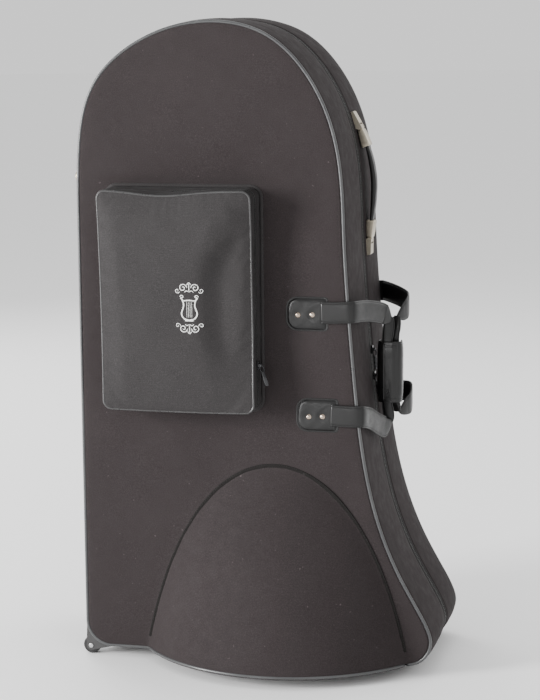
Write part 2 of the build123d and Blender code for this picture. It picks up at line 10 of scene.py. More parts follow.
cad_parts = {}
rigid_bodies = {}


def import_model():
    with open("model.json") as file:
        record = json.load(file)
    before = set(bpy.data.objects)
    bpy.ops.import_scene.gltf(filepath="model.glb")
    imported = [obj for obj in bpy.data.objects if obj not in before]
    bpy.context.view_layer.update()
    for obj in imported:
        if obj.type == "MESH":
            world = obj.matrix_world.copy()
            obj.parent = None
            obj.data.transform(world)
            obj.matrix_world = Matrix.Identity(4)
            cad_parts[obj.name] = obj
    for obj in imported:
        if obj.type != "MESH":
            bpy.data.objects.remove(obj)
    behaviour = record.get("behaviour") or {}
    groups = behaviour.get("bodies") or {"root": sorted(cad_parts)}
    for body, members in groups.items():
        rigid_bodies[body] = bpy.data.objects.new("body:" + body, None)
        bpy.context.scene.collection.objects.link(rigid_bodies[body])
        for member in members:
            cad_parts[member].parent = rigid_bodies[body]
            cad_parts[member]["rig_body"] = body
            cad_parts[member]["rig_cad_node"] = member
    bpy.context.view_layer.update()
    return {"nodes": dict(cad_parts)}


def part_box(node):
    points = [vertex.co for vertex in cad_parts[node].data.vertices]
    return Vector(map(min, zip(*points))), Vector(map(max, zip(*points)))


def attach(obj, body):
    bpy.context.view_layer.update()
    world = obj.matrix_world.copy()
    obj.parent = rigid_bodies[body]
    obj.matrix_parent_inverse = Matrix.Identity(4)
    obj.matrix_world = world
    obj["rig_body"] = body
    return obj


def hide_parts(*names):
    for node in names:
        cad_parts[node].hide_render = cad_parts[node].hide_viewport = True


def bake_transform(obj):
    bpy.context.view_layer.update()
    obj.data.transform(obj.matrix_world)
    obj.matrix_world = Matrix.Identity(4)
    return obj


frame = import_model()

# Looks of the wheeled brass instrument case. Shapes are worked out in millimetres from
# the spine (x), the front panel (y) and the shell's underside (z), as in the CAD source,
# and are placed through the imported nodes' own boxes.
MM = 0.001
cover = 3  # the padded skin stands this far outside the foam cores
core_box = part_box("front_wall_core")
origin = np.array([core_box[0].x / MM - cover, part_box("pocket_base")[1].y / MM, core_box[0].z / MM - cover])
depth, parting, wall = 292, 164, 17


# ---- camera and studio ----
def make_camera():
    yaw, pitch, roll = (math.radians(a) for a in (13.69, 9.22, -0.451))
    place = (0.89625, -3.678, 1.178)
    ahead = Vector((-math.sin(yaw) * math.cos(pitch), math.cos(yaw) * math.cos(pitch), -math.sin(pitch)))
    level_right = Vector((math.cos(yaw), math.sin(yaw), 0))
    level_up = level_right.cross(ahead)
    right = level_right * math.cos(roll) + level_up * math.sin(roll)
    up = -level_right * math.sin(roll) + level_up * math.cos(roll)
    data = bpy.data.cameras.new("camera")
    data.lens, data.sensor_width = 106.14, 36
    data.clip_start, data.clip_end = 0.05, 200
    cam = bpy.data.objects.new("camera", data)
    bpy.context.scene.collection.objects.link(cam)
    rows = [[right[i], up[i], -ahead[i], place[i]] for i in range(3)]
    cam.matrix_world = Matrix(rows + [[0, 0, 0, 1]])
    bpy.context.scene.camera = cam


def area_light(name, where, target, size, power):
    data = bpy.data.lights.new(name, "AREA")
    data.shape, data.size, data.size_y = "RECTANGLE", size[0], size[1]
    data.energy = power
    lamp = bpy.data.objects.new(name, data)
    bpy.context.scene.collection.objects.link(lamp)
    lamp.location = where
    lamp.rotation_euler = (Vector(target) - Vector(where)).to_track_quat("-Z", "Y").to_euler()


def make_studio():
    area_light("key", (-4.2, -3.1, 1.45), (0, 0, 0.7), (1.5, 2.2), 560)
    area_light("fill", (3.0, -3.4, 1.4), (0.1, 0, 0.55), (0.7, 2.2), 16)
    area_light("low", (-0.7, -5.0, 0.8), (0.1, 0, 0.6), (0.5, 1.0), 24)
    area_light("back_left", (-2.4, 2.8, 2.4), (0, 0, 0.6), (2.0, 2.4), 70)
    area_light("back_right", (2.8, 2.6, 2.2), (0, 0, 0.6), (2.0, 2.4), 36)
    area_light("top", (0, 0.6, 4.2), (0, 0, 0), (2.4, 2.4), 28)
    world = bpy.data.worlds.new("studio")
    bpy.context.scene.world = world
    world.use_nodes = True
    background = world.node_tree.nodes["Background"].inputs
    background["Color"].default_value, background["Strength"].default_value = (1, 1, 1, 1), 1.05
    mesh = bpy.data.meshes.new("floor")
    bm = bmesh.new()
    bmesh.ops.create_circle(bm, cap_ends=True, segments=96, radius=40)
    bm.to_mesh(mesh)
    bm.free()
    floor = bpy.data.objects.new("floor", mesh)
    bpy.context.scene.collection.objects.link(floor)
    paint = bpy.data.materials.new("floor_paint")
    paint.use_nodes = True
    shader = paint.node_tree.nodes["Principled BSDF"]
    shader.inputs["Base Color"].default_value = (0.96, 0.96, 0.96, 1)
    shader.inputs["Roughness"].default_value = 0.7
    mesh.materials.append(paint)


make_camera()
make_studio()


# ---- materials ----
class Shade:
    """A procedural material on object coordinates, built a layer at a time."""

    def __init__(self, name, base, rough, **sockets):
        self.material = bpy.data.materials.new(name)
        self.material.use_nodes = True
        self.tree = self.material.node_tree
        self.bsdf = self.tree.nodes["Principled BSDF"]
        self.bsdf.inputs["Roughness"].default_value = rough
        for socket, value in sockets.items():
            self.bsdf.inputs[socket.replace("_", " ")].default_value = value
        self.bsdf.inputs["Base Color"].default_value = (*base, 1)
        self.base = base
        self.coords = self.node("ShaderNodeTexCoord", {}, "Object")
        self.bump_from = None

    def node(self, kind, inputs, output, **settings):
        """Add a node, set or link its inputs, and give back one of its outputs."""
        made = self.tree.nodes.new(kind)
        for key, value in settings.items():
            setattr(made, key, value)
        for socket, value in inputs.items():
            if isinstance(value, bpy.types.NodeSocket):
                self.link(value, made.inputs[socket])
            else:
                made.inputs[socket].default_value = value
        return made.outputs[output]

    def link(self, a, b):
        self.tree.links.new(a, b)

    def stretched(self, scale):
        """Object coordinates scaled by axis, for a directed grain."""
        return self.node("ShaderNodeMapping", {"Scale": scale, "Vector": self.coords}, "Vector")

    def noise(self, scale, detail=3, vector=None):
        inputs = {"Scale": scale, "Detail": detail, "Vector": vector or self.coords}
        return self.node("ShaderNodeTexNoise", inputs, "Fac")

    def wave(self, scale, direction, distortion):
        inputs = {"Scale": scale, "Distortion": distortion, "Vector": self.coords}
        return self.node("ShaderNodeTexWave", inputs, "Fac", wave_type="BANDS", bands_direction=direction)

    def cells(self, scale):
        inputs = {"Scale": scale, "Vector": self.coords}
        return self.node("ShaderNodeTexVoronoi", inputs, "Distance", feature="DISTANCE_TO_EDGE")

    def math(self, operation, a, b):
        return self.node("ShaderNodeMath", {0: a, 1: b}, 0, operation=operation)

    def span(self, fac, low, high, start, end):
        inputs = {"Value": fac, "From Min": start, "From Max": end, "To Min": low, "To Max": high}
        return self.node("ShaderNodeMapRange", inputs, "Result")

    def tint(self, fac, other, start, end):
        """Mix another colour into the base where fac is high."""
        colour = self.bsdf.inputs["Base Color"]
        below = colour.links[0].from_socket if colour.is_linked else (*self.base, 1)
        inputs = {"A": below, "B": (*other, 1), "Factor": self.span(fac, 0, 1, start, end)}
        self.link(self.node("ShaderNodeMix", inputs, "Result", data_type="RGBA"), colour)

    def rough(self, fac, low, high):
        self.link(self.span(fac, low, high, 0.3, 0.7), self.bsdf.inputs["Roughness"])

    def bump(self, height, strength, distance):
        inputs = {"Strength": strength, "Distance": distance, "Height": height}
        if self.bump_from:
            inputs["Normal"] = self.bump_from
        self.bump_from = self.node("ShaderNodeBump", inputs, "Normal")
        self.link(self.bump_from, self.bsdf.inputs["Normal"])


def woven(name, base, light, rough, thread, sheen, lint=0.5, strength=0.5):
    """Plain-woven fabric; thread is the weave's pitch in millimetres."""
    s = Shade(name, base, rough, Sheen_Weight=sheen, Sheen_Roughness=0.45, Specular_IOR_Level=0.07)
    bands = 0.157 / (thread * MM)
    weft = s.wave(bands, "Z", 0.6)
    warp = s.math("MULTIPLY", s.wave(bands, "X", 0.6), s.wave(bands, "Y", 0.6))
    weave = s.math("MAXIMUM", weft, warp)
    s.tint(s.noise(9, 4), light, 0.3, 0.9)
    s.tint(s.noise(760, 2), tuple(c * 1.6 for c in light), 0.42, 0.85)
    s.tint(s.noise(150, 1), tuple(c * 6 for c in light), 1 - lint * 0.5, 1.0)
    s.rough(s.noise(60, 3), rough - 0.08, rough + 0.08)
    s.bump(weave, strength, 0.3 * MM)
    s.bump(s.noise(18, 3), 0.06, 2 * MM)
    return s.material


def leather(name, base, light, rough, grain, coat, gloss, relief=1.0):
    s = Shade(name, base, rough, Coat_Weight=coat, Coat_Roughness=0.22, Specular_IOR_Level=gloss)
    s.tint(s.noise(25, 4), light, 0.4, 0.8)
    s.rough(s.noise(60, 3), rough - 0.07, rough + 0.08)
    s.bump(s.math("MINIMUM", s.cells(grain), 0.25), 0.3 * relief, 0.3 * MM)
    s.bump(s.noise(45, 2), 0.12 * relief, 1.5 * MM)
    return s.material


def plush(name, base, light):
    s = Shade(name, base, 0.95, Sheen_Weight=0.2, Sheen_Roughness=0.4)
    s.tint(s.noise(14, 4), light, 0.35, 0.7)
    s.tint(s.noise(1400, 2), tuple(c * 1.6 for c in light), 0.5, 0.8)
    s.bump(s.noise(1600, 3), 0.6, 0.6 * MM)
    s.bump(s.noise(45, 3), 0.3, 3 * MM)
    return s.material


def metal(name, base, worn, rough=0.3, brushed=(40, 40, 1400)):
    s = Shade(name, base, rough, Metallic=1.0)
    grain = s.noise(1, 4, s.stretched(brushed))
    s.tint(s.noise(60, 4), worn, 0.45, 0.8)
    s.rough(grain, rough - 0.06, rough + 0.1)
    s.bump(grain, 0.08, 0.1 * MM)
    return s.material


def moulded(name, base, light, rough=0.5, grain=700):
    s = Shade(name, base, rough)
    s.tint(s.noise(30, 5), light, 0.45, 0.8)
    s.rough(s.noise(90, 4), rough - 0.1, rough + 0.12)
    s.bump(s.noise(grain, 3), 0.3, 0.25 * MM)
    return s.material


def even(value):
    """One value for all three channels or axes."""
    return (value, value, value)


paints = {name: kind(name, *look) for name, kind, *look in (
    ("case_nylon", woven, (0.0205, 0.0168, 0.0172), (0.0255, 0.0210, 0.0214),
     0.74, 1.3, 0.01, 0.5, 0.25),
    ("pocket_nylon", woven, (0.0225, 0.0210, 0.0213), (0.0290, 0.0270, 0.0272),
     0.56, 1.6, 0.02, 0.36, 0.3),
    ("tape_weave", woven, (0.0085, 0.0078, 0.0075), (0.012, 0.011, 0.0105), 0.78, 1.0, 0.03),
    ("webbing", woven, (0.010, 0.010, 0.0105), (0.016, 0.016, 0.017), 0.7, 1.8, 0.1, 0.5, 0.8),
    ("piping_vinyl", leather, (0.034, 0.035, 0.036), (0.05, 0.051, 0.052), 0.34, 1500, 0.25, 0.5, 0.2),
    ("pocket_vinyl", leather, (0.024, 0.0235, 0.0235), (0.036, 0.0355, 0.0355),
     0.3, 1500, 0.25, 0.4, 0.3),
    ("black_leather", leather, (0.0042, 0.0041, 0.0042), (0.0085, 0.0082, 0.0081),
     0.38, 1000, 0.1, 0.3),
    ("grip_leather", leather, (0.0042, 0.0041, 0.0042), (0.0085, 0.0082, 0.0081),
     0.33, 900, 0.16, 0.32, 0.6),
    ("plush_black", plush, (0.012, 0.012, 0.0135), (0.0155, 0.0155, 0.0172)),
    ("champagne", metal, (0.50, 0.45, 0.36), (0.58, 0.53, 0.44), 0.34),
    ("rivet_nickel", metal, (0.36, 0.29, 0.235), (0.5, 0.43, 0.36), 0.18, even(900)),
    ("gunmetal", metal, (0.045, 0.045, 0.047), (0.11, 0.11, 0.113), 0.24, even(500)),
    ("axle_steel", metal, even(0.5), even(0.6), 0.3, even(500)),
    ("housing", moulded, (0.026, 0.025, 0.025), (0.04, 0.039, 0.039), 0.55),
    ("hub_plastic", moulded, (0.028, 0.028, 0.029), even(0.05), 0.42),
    ("tyre_rubber", moulded, even(0.008), (0.016, 0.0155, 0.015), 0.7, 400),
    ("coil_nylon", moulded, even(0.02), even(0.035), 0.38, 900),
    ("seam_thread", moulded, (0.010, 0.0095, 0.008), (0.018, 0.017, 0.014), 0.7, 2500),
    ("leather_thread", moulded, even(0.004), even(0.008), 0.75, 2500),
    ("edge_thread", moulded, even(0.018), even(0.035), 0.7, 2500),
    ("silver_thread", woven, (0.62, 0.62, 0.6), (0.75, 0.75, 0.73), 0.45, 0.7, 0.4, 0.2),
)}


# ---- mesh building ----
def unit(v):
    v = np.asarray(v, float)
    return v / np.maximum(np.linalg.norm(v, axis=-1, keepdims=True), 1e-9)


def heading_of(path):
    """Unit heading at each point of an open path."""
    return unit(np.gradient(path, axis=0))


def ring_heading(ring):
    """Unit heading at each point of a closed ring."""
    return unit(np.roll(ring, -1, 0) - np.roll(ring, 1, 0))


def steady(direction, path):
    """One direction repeated at every point of a path."""
    return np.broadcast_to(np.asarray(direction, float), path.shape)


def stood(flat, y=0.0):
    """Flat (x, z) points stood up in space at a depth."""
    return np.stack([flat[:, 0], np.broadcast_to(y, len(flat)), flat[:, 1]], 1)


def cloth_layer(thickness):
    return [("SOLIDIFY", {"thickness": thickness * MM, "offset": -1.0})]


rounder = [("SUBSURF", {"levels": 1, "render_levels": 1})]


class Shape:
    """Points and faces gathered before they become one Blender mesh."""

    def __init__(self, mirrored=False):
        self.points, self.faces, self.count, self.mirrored = [], [], 0, mirrored

    def add(self, points, faces):
        points = np.asarray(points, float).reshape(-1, 3)
        self.points.append(points)
        self.faces += [tuple(i + self.count for i in f) for f in faces]
        self.count += len(points)
        return self

    def build(self, name, material, body, slot, replaces=(), modifiers=()):
        """Make the mesh; a piece without a body is left without a parent."""
        points = np.concatenate(self.points)
        faces = self.faces
        if self.mirrored:
            points = points * (1, -1, 1) + (0, depth, 0)
            faces = [f[::-1] for f in faces]
        mesh = bpy.data.meshes.new(name)
        mesh.from_pydata(((points + origin) * MM).tolist(), [], faces)
        mesh.materials.append(paints[material])
        mesh.shade_smooth()
        obj = bpy.data.objects.new(name, mesh)
        bpy.context.scene.collection.objects.link(obj)
        for kind, settings in modifiers:
            modifier = obj.modifiers.new(kind.lower(), kind)
            for key, value in settings.items():
                setattr(modifier, key, value)
        if body:
            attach(obj, body)
        if replaces:
            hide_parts(*replaces)
        return obj


def grid_faces(rows, columns, wrap_rows=False, wrap_columns=False):
    faces = []
    for r in range(rows if wrap_rows else rows - 1):
        for c in range(columns if wrap_columns else columns - 1):
            r2, c2 = (r + 1) % rows, (c + 1) % columns
            faces.append((r * columns + c, r * columns + c2, r2 * columns + c2, r2 * columns + c))
    return faces


def loft(path, across, out, section, closed=False, tube=True):
    """Sweep a 2-D section (stations x points x 2, or points x 2) along a path."""
    path, across, out = (np.asarray(a, float) for a in (path, across, out))
    section = np.asarray(section, float)
    if section.ndim == 2:
        section = np.broadcast_to(section, (len(path), *section.shape))
    points = path[:, None] + across[:, None] * section[..., :1] + out[:, None] * section[..., 1:]
    rows, columns = points.shape[:2]
    faces = grid_faces(rows, columns, closed, tube)
    if tube and not closed:
        faces += [tuple(range(columns))[::-1], tuple(range((rows - 1) * columns, rows * columns))]
    return points.reshape(-1, 3), faces


def circle_section(radius, sides, offset=(0, 0)):
    turn = np.linspace(0, 2 * math.pi, sides, endpoint=False)
    return np.stack([offset[0] + radius * np.cos(turn), offset[1] + radius * np.sin(turn)], 1)


def strap_section(width, thick, sides, sharp):
    """Rounded flat section: width along the first axis."""
    turn = np.linspace(0, 2 * math.pi, sides, endpoint=False)
    c, s = np.cos(turn), np.sin(turn)
    return np.stack([size / 2 * np.sign(a) * np.abs(a) ** sharp for size, a in ((width, c), (thick, s))], 1)


def bordered_section(width, thick):
    """Strap section: a padded middle between two sewn grooves and rolled edges."""
    share = np.array([1.0, 0.985, 0.93, 0.87, 0.845, 0.82, 0.76, 0.6, 0.35, 0.0])
    height = np.array([0.0, 0.55, 0.95, 0.9, 0.55, 0.85, 1.15, 1.3, 1.38, 1.4]) * thick / 2
    right = np.stack([share * width / 2, height], 1)
    top = np.concatenate([right, (right[:-1] * (-1, 1))[::-1]])
    return np.concatenate([top, (top[1:-1] * (1, -1))[::-1]])


def resample(path, pitch, *others):
    path = np.asarray(path, float)
    run = np.concatenate([[0], np.cumsum(np.linalg.norm(np.diff(path, axis=0), axis=1))])
    count = max(2, int(run[-1] / pitch))
    marks = np.linspace(0, run[-1], count)
    rows = (np.asarray(a, float) for a in (path, *others))
    return [np.stack([np.interp(marks, run, column) for column in a.T], 1) for a in rows]


def catmull(points, per=10):
    """Smooth curve through rows of numbers."""
    p = np.asarray(points, float)
    p = np.concatenate([[2 * p[0] - p[1]], p, [2 * p[-1] - p[-2]]])
    rows = []
    for i in range(1, len(p) - 2):
        for t in np.linspace(0, 1, per, endpoint=False):
            rows.append(0.5 * (2 * p[i] + (p[i + 1] - p[i - 1]) * t
                               + (2 * p[i - 1] - 5 * p[i] + 4 * p[i + 1] - p[i + 2]) * t**2
                               + (3 * p[i] - p[i - 1] - 3 * p[i + 1] + p[i + 2]) * t**3))
    rows.append(p[-2])
    return np.array(rows)


def stitches(shape, path, normals, pitch=4.6, length=3.2, radius=0.4):
    """A row of raised stitches on a path, each one a small rounded bar."""
    spots, ups = resample(path, pitch, normals)
    travel, ups = heading_of(spots), unit(ups)
    side = unit(np.cross(travel, ups))
    along = np.array([-0.5, -0.32, 0.32, 0.5]) * length
    fat = np.array([0.35, 1, 1, 0.35]) * radius
    ring = [(1, 0), (0, 1), (-1, 0), (0, -1)]
    block = grid_faces(4, 4, False, True) + [(3, 2, 1, 0), (12, 13, 14, 15)]
    for p, t, u, s in zip(spots, travel, ups, side):
        rows = [p + t * a + s * (b * f) + u * (c * f) for a, f in zip(along, fat) for b, c in ring]
        shape.add(rows, block)


def teeth(shape, path, normals, across, pitch=2.6, size=(1.5, 2.4, 1.3)):
    """Zipper teeth: bevelled blocks, size along, across and out."""
    spots, ups, sides = resample(path, pitch, normals, across)
    travel, ups, sides = heading_of(spots), unit(ups), unit(sides)
    levels = [(0, 1.0), (0.6, 1.0), (1.0, 0.55)]
    ring = [(-1, -1), (1, -1), (1, 1), (-1, 1)]
    block = grid_faces(3, 4, False, True) + [(8, 9, 10, 11)]
    for p, t, u, s in zip(spots, travel, ups, sides):
        rows = [p + t * (a * size[0] / 2 * f) + s * (b * size[1] / 2 * f) + u * (h * size[2])
                for h, f in levels for a, b in ring]
        shape.add(rows, block)


def turned(shape, profile, where, axis):
    """Turn (radius, height) pairs round an axis."""
    segments = 24
    axis = unit(axis)
    first = unit(np.cross(axis, (0, 0, 1) if abs(axis[2]) < 0.9 else (1, 0, 0)))
    second = np.cross(axis, first)
    turn = np.linspace(0, 2 * math.pi, segments, endpoint=False)
    ring = np.cos(turn)[:, None] * first + np.sin(turn)[:, None] * second
    rows = np.concatenate([np.asarray(where) + ring * r + axis * h for r, h in profile])
    top = len(profile) - 1
    faces = grid_faces(len(profile), segments, False, True)
    faces += [tuple(range(segments))[::-1], tuple(range(top * segments, (top + 1) * segments))]
    shape.add(rows, faces)


def ripple(x, z, scale=1.0, seed=0.0):
    """Smooth repeatable unevenness, about -1 to 1."""
    return (np.sin(x * 0.021 * scale + seed) * np.cos(z * 0.017 * scale - 1.3 * seed)
            + 0.6 * np.sin(x * 0.043 * scale - z * 0.031 * scale + 2 * seed)
            + 0.4 * np.cos(x * 0.071 * scale + z * 0.083 * scale + 3 * seed)) / 2


# ---- outline of the case ----
rim_points = [(0, 800), (3, 920), (34, 1040), (110, 1111), (255, 1150), (350, 1128), (423, 1061),
              (477, 938), (492, 767), (506, 562), (524, 393),
              (549, 274), (593, 162), (624, 106), (643, 69), (649, 45)]
case_width, heel, toe = 649, 48, 45


def clamped_spline(knots, spacing):
    """Smooth curve through the knots, leaving straight up and arriving straight down."""
    knots = np.asarray(knots, float)
    step = np.linalg.norm(np.diff(knots, axis=0), axis=1)
    at, n = np.concatenate([[0], np.cumsum(step)]), len(knots)
    matrix, target = np.zeros((n, n)), np.zeros((n, 2))
    slope = np.diff(knots, axis=0) / step[:, None]
    matrix[0, :2] = 2 * step[0], step[0]
    target[0] = 6 * (slope[0] - (0, 1))
    matrix[-1, -2:] = step[-1], 2 * step[-1]
    target[-1] = 6 * ((0, -1) - slope[-1])
    for i in range(1, n - 1):
        matrix[i, i - 1:i + 2] = step[i - 1], 2 * (step[i - 1] + step[i]), step[i]
        target[i] = 6 * (slope[i] - slope[i - 1])
    bend = np.linalg.solve(matrix, target)
    marks = np.linspace(0, at[-1], int(at[-1] / spacing))
    i = np.clip(np.searchsorted(at, marks, side="right") - 1, 0, n - 2)
    h, t = step[i][:, None], (marks - at[i])[:, None]
    rest = h - t
    return ((bend[i] * rest**3 + bend[i + 1] * t**3) / (6 * h)
            + (knots[i] / h - bend[i] * h / 6) * rest + (knots[i + 1] / h - bend[i + 1] * h / 6) * t)


def arc(centre, radius, start, end, steps):
    turn = np.radians(np.linspace(start, end, steps))
    return np.stack([centre[0] + radius * np.cos(turn), centre[1] + radius * np.sin(turn)], 1)


spacing = 4.0
heel_arc = arc((heel, heel), heel, -90, -180, 16)
spine_heights = np.linspace(heel, rim_points[0][1], 189)[1:-1]
spine_line = np.stack([np.zeros(len(spine_heights)), spine_heights], 1)
rim = clamped_spline(rim_points, spacing)
toe_arc = arc((case_width - toe, toe), toe, 0, -90, 16)[1:]
sole_places = np.linspace(case_width - toe, heel, 140)[1:-1]
sole = np.stack([sole_places, np.zeros(len(sole_places))], 1)
loop = np.concatenate([heel_arc, spine_line, rim, toe_arc, sole])
heading = ring_heading(loop)
outward = np.stack([-heading[:, 1], heading[:, 0]], 1)
apex = int(np.argmax(loop[:, 1]))
toe_end = len(heel_arc) + len(spine_line) + len(rim) + len(toe_arc) - 1
loop3, outward3 = stood(loop), stood(outward)
rearward = steady((0, 1, 0), loop3)

# The zipper runs all round but for the spine.
spine_low, spine_high = 60, 790
zip_start = int(np.argmax((loop[:, 1] > spine_high) & (np.arange(len(loop)) > len(heel_arc))))
zip_stop = int(np.argmax((loop[:, 1] > spine_low) & (loop[:, 0] < 1)))
zip_index = np.r_[zip_start:len(loop), 0:zip_stop + 1]
spine_index = np.arange(zip_stop, zip_start + 1)

bell_x, bell_radius, bulge_depth, bulge_height, ridge_radius = 363, 299, 129, 357, 2171
half_chord = math.hypot(bulge_depth, bulge_height) / 2
chord_lean = math.atan2(bulge_depth, bulge_height)
ridge_sag = math.sqrt(ridge_radius**2 - half_chord**2)
ridge_y = -bulge_depth / 2 + ridge_sag * math.cos(chord_lean)
ridge_z = bulge_height / 2 - ridge_sag * math.sin(chord_lean)
bulge_half = 238


def ridge_reach(x, inset):
    radius = bell_radius - inset
    return (ridge_radius - bell_radius) + np.sqrt(np.maximum(radius**2 - (x - bell_x) ** 2, 0))


def bulge_y(x, z, inset=0.0):
    """Depth of the bell bulge's surface; below zero it stands in front of the panel."""
    return ridge_y - np.sqrt(np.maximum(ridge_reach(x, inset) ** 2 - (z - ridge_z) ** 2, 0))


def panel_points(inset, columns, puff, base, soft=4.0):
    """Grid over the big panel and its bulge, from edge to edge of the inset outline."""
    ring = loop - outward * inset
    left_z, left_x = ring[:apex + 1, 1], ring[:apex + 1, 0]
    right = ring[apex:toe_end + 1][::-1]
    low, high = inset, ring[apex, 1]
    corner, row_pitch, crown_height, foot_rows, crown_rows = 46 - inset, 5.0, 150, 12, 46
    foot = low + corner * (1 - np.cos(np.linspace(0, math.pi / 2, foot_rows)))
    middle = np.arange(low + corner + row_pitch, high - crown_height, row_pitch)
    crown = middle[-1] + (high - middle[-1]) * np.sin(np.linspace(0, math.pi / 2, crown_rows))[1:]
    heights = np.concatenate([foot, middle, crown])
    share = np.linspace(0, 1, columns)
    x0, x1 = np.interp(heights, left_z, left_x), np.interp(heights, right[:, 1], right[:, 0])
    x = x0[:, None] + (x1 - x0)[:, None] * share
    z = np.broadcast_to(heights[:, None], x.shape)
    tree = KDTree(len(ring))
    for i, p in enumerate(ring):
        tree.insert((p[0], 0, p[1]), i)
    tree.balance()
    edge = np.array([tree.find((a, 0, b))[2] for a, b in zip(x.ravel(), z.ravel())]).reshape(x.shape)
    hem, calm, off_bulge = 6, 40, -60
    lift = puff * (1 - np.exp(-edge / hem)) + 0.5 * puff * ripple(x, z) * (1 - np.exp(-edge / calm))
    swell = base - bulge_y(x, z, inset if base else 0.0)
    swell = np.where(np.abs(x - bell_x) < bell_radius - inset, swell, off_bulge)
    y = base - lift - 0.5 * (swell + np.sqrt(swell**2 + soft**2))
    return np.stack([x, y, z], -1).reshape(-1, 3), grid_faces(len(heights), columns)


def bulge_sole(inset, base, back):
    """Underside of the bulge, a half-moon grid."""
    columns, layers = 90, 14
    x = np.linspace(bell_x - bulge_half + inset, bell_x + bulge_half - inset, columns)
    front_edge = np.minimum(bulge_y(x, inset, inset), base)
    flat = np.stack([x, np.full(columns, float(inset))], 1)
    rows = [stood(flat, front_edge + (back - front_edge) * t) for t in np.linspace(0, 1, layers)]
    return np.concatenate(rows), grid_faces(layers, columns)


def wall_strip(index, profile, wobble=0.0, seed=0.0, closed=True):
    """Band along the outline; the profile is (outward, depth) pairs."""
    section = np.broadcast_to(np.asarray(profile, float), (len(index), len(profile), 2)).copy()
    if wobble:
        run = index[:, None] * spacing
        t = np.linspace(0, 1, len(profile))[None, :]
        section[..., 0] += wobble * np.sin(math.pi * t) * ripple(run, t * 120, 1.0, seed)
    return loft(loop3[index], outward3[index], rearward[index], section, closed, tube=False)


ring_index = np.arange(len(loop))
tape_width, gap, panel_inset, wall_front, piping_radius, piping_sides = 13, 0.3, 4.0, 3.4, 3.0, 12
halves = {"front": (parting - gap, False), "back": (depth - parting - gap, True)}

for side, (reach, mirrored) in halves.items():
    body = f"case_{side}"
    seam_y = reach - tape_width

    # Skin: panel with bulge, underside of the bulge, and the side wall, pillowed over its foam.
    share = np.linspace(0, 1, 24)
    puff = 3.0 * np.sin(math.pi * share) ** 0.6 - 0.6
    side_wall = list(zip(puff, wall_front + (seam_y - wall_front) * share))
    skin = Shape(mirrored).add(*panel_points(panel_inset, 150, 1.5, 0.0)).add(*bulge_sole(0.0, 0.0, 8.0))
    skin.add(*wall_strip(ring_index, side_wall, 0.7, 1.0))
    skin.build(f"{side}_skin", "case_nylon", body, "black_nylon", [f"{side}_cover"], cloth_layer(1.2))

    # Piping round the panel's edge and round the foot of the bulge.
    start = int(np.argmin(np.abs(loop[:, 0] - (bell_x - bulge_half)) + 1000 * (ring_index <= toe_end)))
    edge = np.r_[start:len(loop), 0:toe_end + 1]
    x = np.linspace(bell_x - bulge_half, bell_x + bulge_half, 140)
    foot = np.stack([x, np.minimum(bulge_y(x, 1.0), 0) + 1.8, np.full(len(x), 2.0)], 1)
    foot_out = unit(np.cross((0, 0, 1), np.gradient(foot, axis=0)))
    tube = circle_section(piping_radius, piping_sides, (-1.9, 1.2))
    piping = Shape(mirrored).add(*loft(loop3[edge], outward3[edge], rearward[edge], tube))
    piping.add(*loft(foot, foot_out, steady((0, 0, 1), foot), circle_section(piping_radius, piping_sides)))
    piping.build(f"{side}_edge_piping", "piping_vinyl", body, "vinyl_piping", [f"{side}_piping"])

    # Arch seam where the bulge's fabric joins the panel.
    x = bell_x + bulge_half * np.sin(np.linspace(-math.pi / 2, math.pi / 2, 260)) * 0.998
    arch = np.stack([x, np.full(len(x), -3.3), ridge_z + np.sqrt(ridge_reach(x, 0) ** 2 - ridge_y**2)], 1)
    arch = arch[arch[:, 2] > 2]
    arch_side = unit(np.cross(np.gradient(arch, axis=0), (0, 1, 0)))
    forward = steady((0, -1, 0), arch)
    seam = Shape(mirrored).add(*loft(arch, arch_side, forward, strap_section(8.5, 2.4, 12, 0.7)))
    seam.build(f"{side}_arch_seam", "tape_weave", body, "black_nylon")

    # Zipper tape, coil teeth and the stitching beside them.
    zip_line, zip_out, zip_across = loop3[zip_index], outward3[zip_index], rearward[zip_index]
    band = [(-0.9, seam_y - 2), (-0.7, seam_y + 4), (-0.8, reach - 3), (-1.2, reach), (-2.4, reach)]
    tape = Shape(mirrored).add(*wall_strip(zip_index, band, closed=False))
    tape.build(f"{side}_tape", "tape_weave", body, "zipper_tape", [f"{side}_zip_tape"], cloth_layer(1.2))
    coil = Shape(mirrored)
    teeth(coil, zip_line + zip_out * -0.8 + (0, reach - 1.5, 0), zip_out, zip_across)
    coil.build(f"{side}_teeth", "coil_nylon", body, "zipper_coil", [f"{side}_zip_coil"])
    thread = Shape(mirrored)
    for row_y, lift in ((seam_y - 2.2, 0.1), (seam_y + 3.0, -0.2)):
        stitches(thread, zip_line + zip_out * lift + (0, row_y, 0), zip_out)
    for shift in (-2.6, 2.6):
        stitches(thread, arch + arch_side * shift + forward * 0.8, forward)
    thread.build(f"{side}_seams", "seam_thread", body, "black_nylon")

    # Plush lining with a bound lip over the foam at the parting.
    inner = float(wall)
    lip = [(-3.2, reach - 0.8), (-4.5, reach - 0.25), (-wall + 2.5, reach - 0.3), (-wall - 0.3, reach - 2.2)]
    walls = [(-wall + 0.2, reach - 8), (-wall, (reach + wall) / 2), (-wall, wall)]
    inside = Shape(mirrored).add(*panel_points(inner, 110, -0.6, inner, 5.0))
    inside.add(*bulge_sole(inner, inner, inner)).add(*wall_strip(ring_index, lip + walls))
    inside.build(f"{side}_plush", "plush_black", body, "plush_lining",
                 [f"{side}_lining", f"{side}_wall_core", f"{side}_panel_core"])

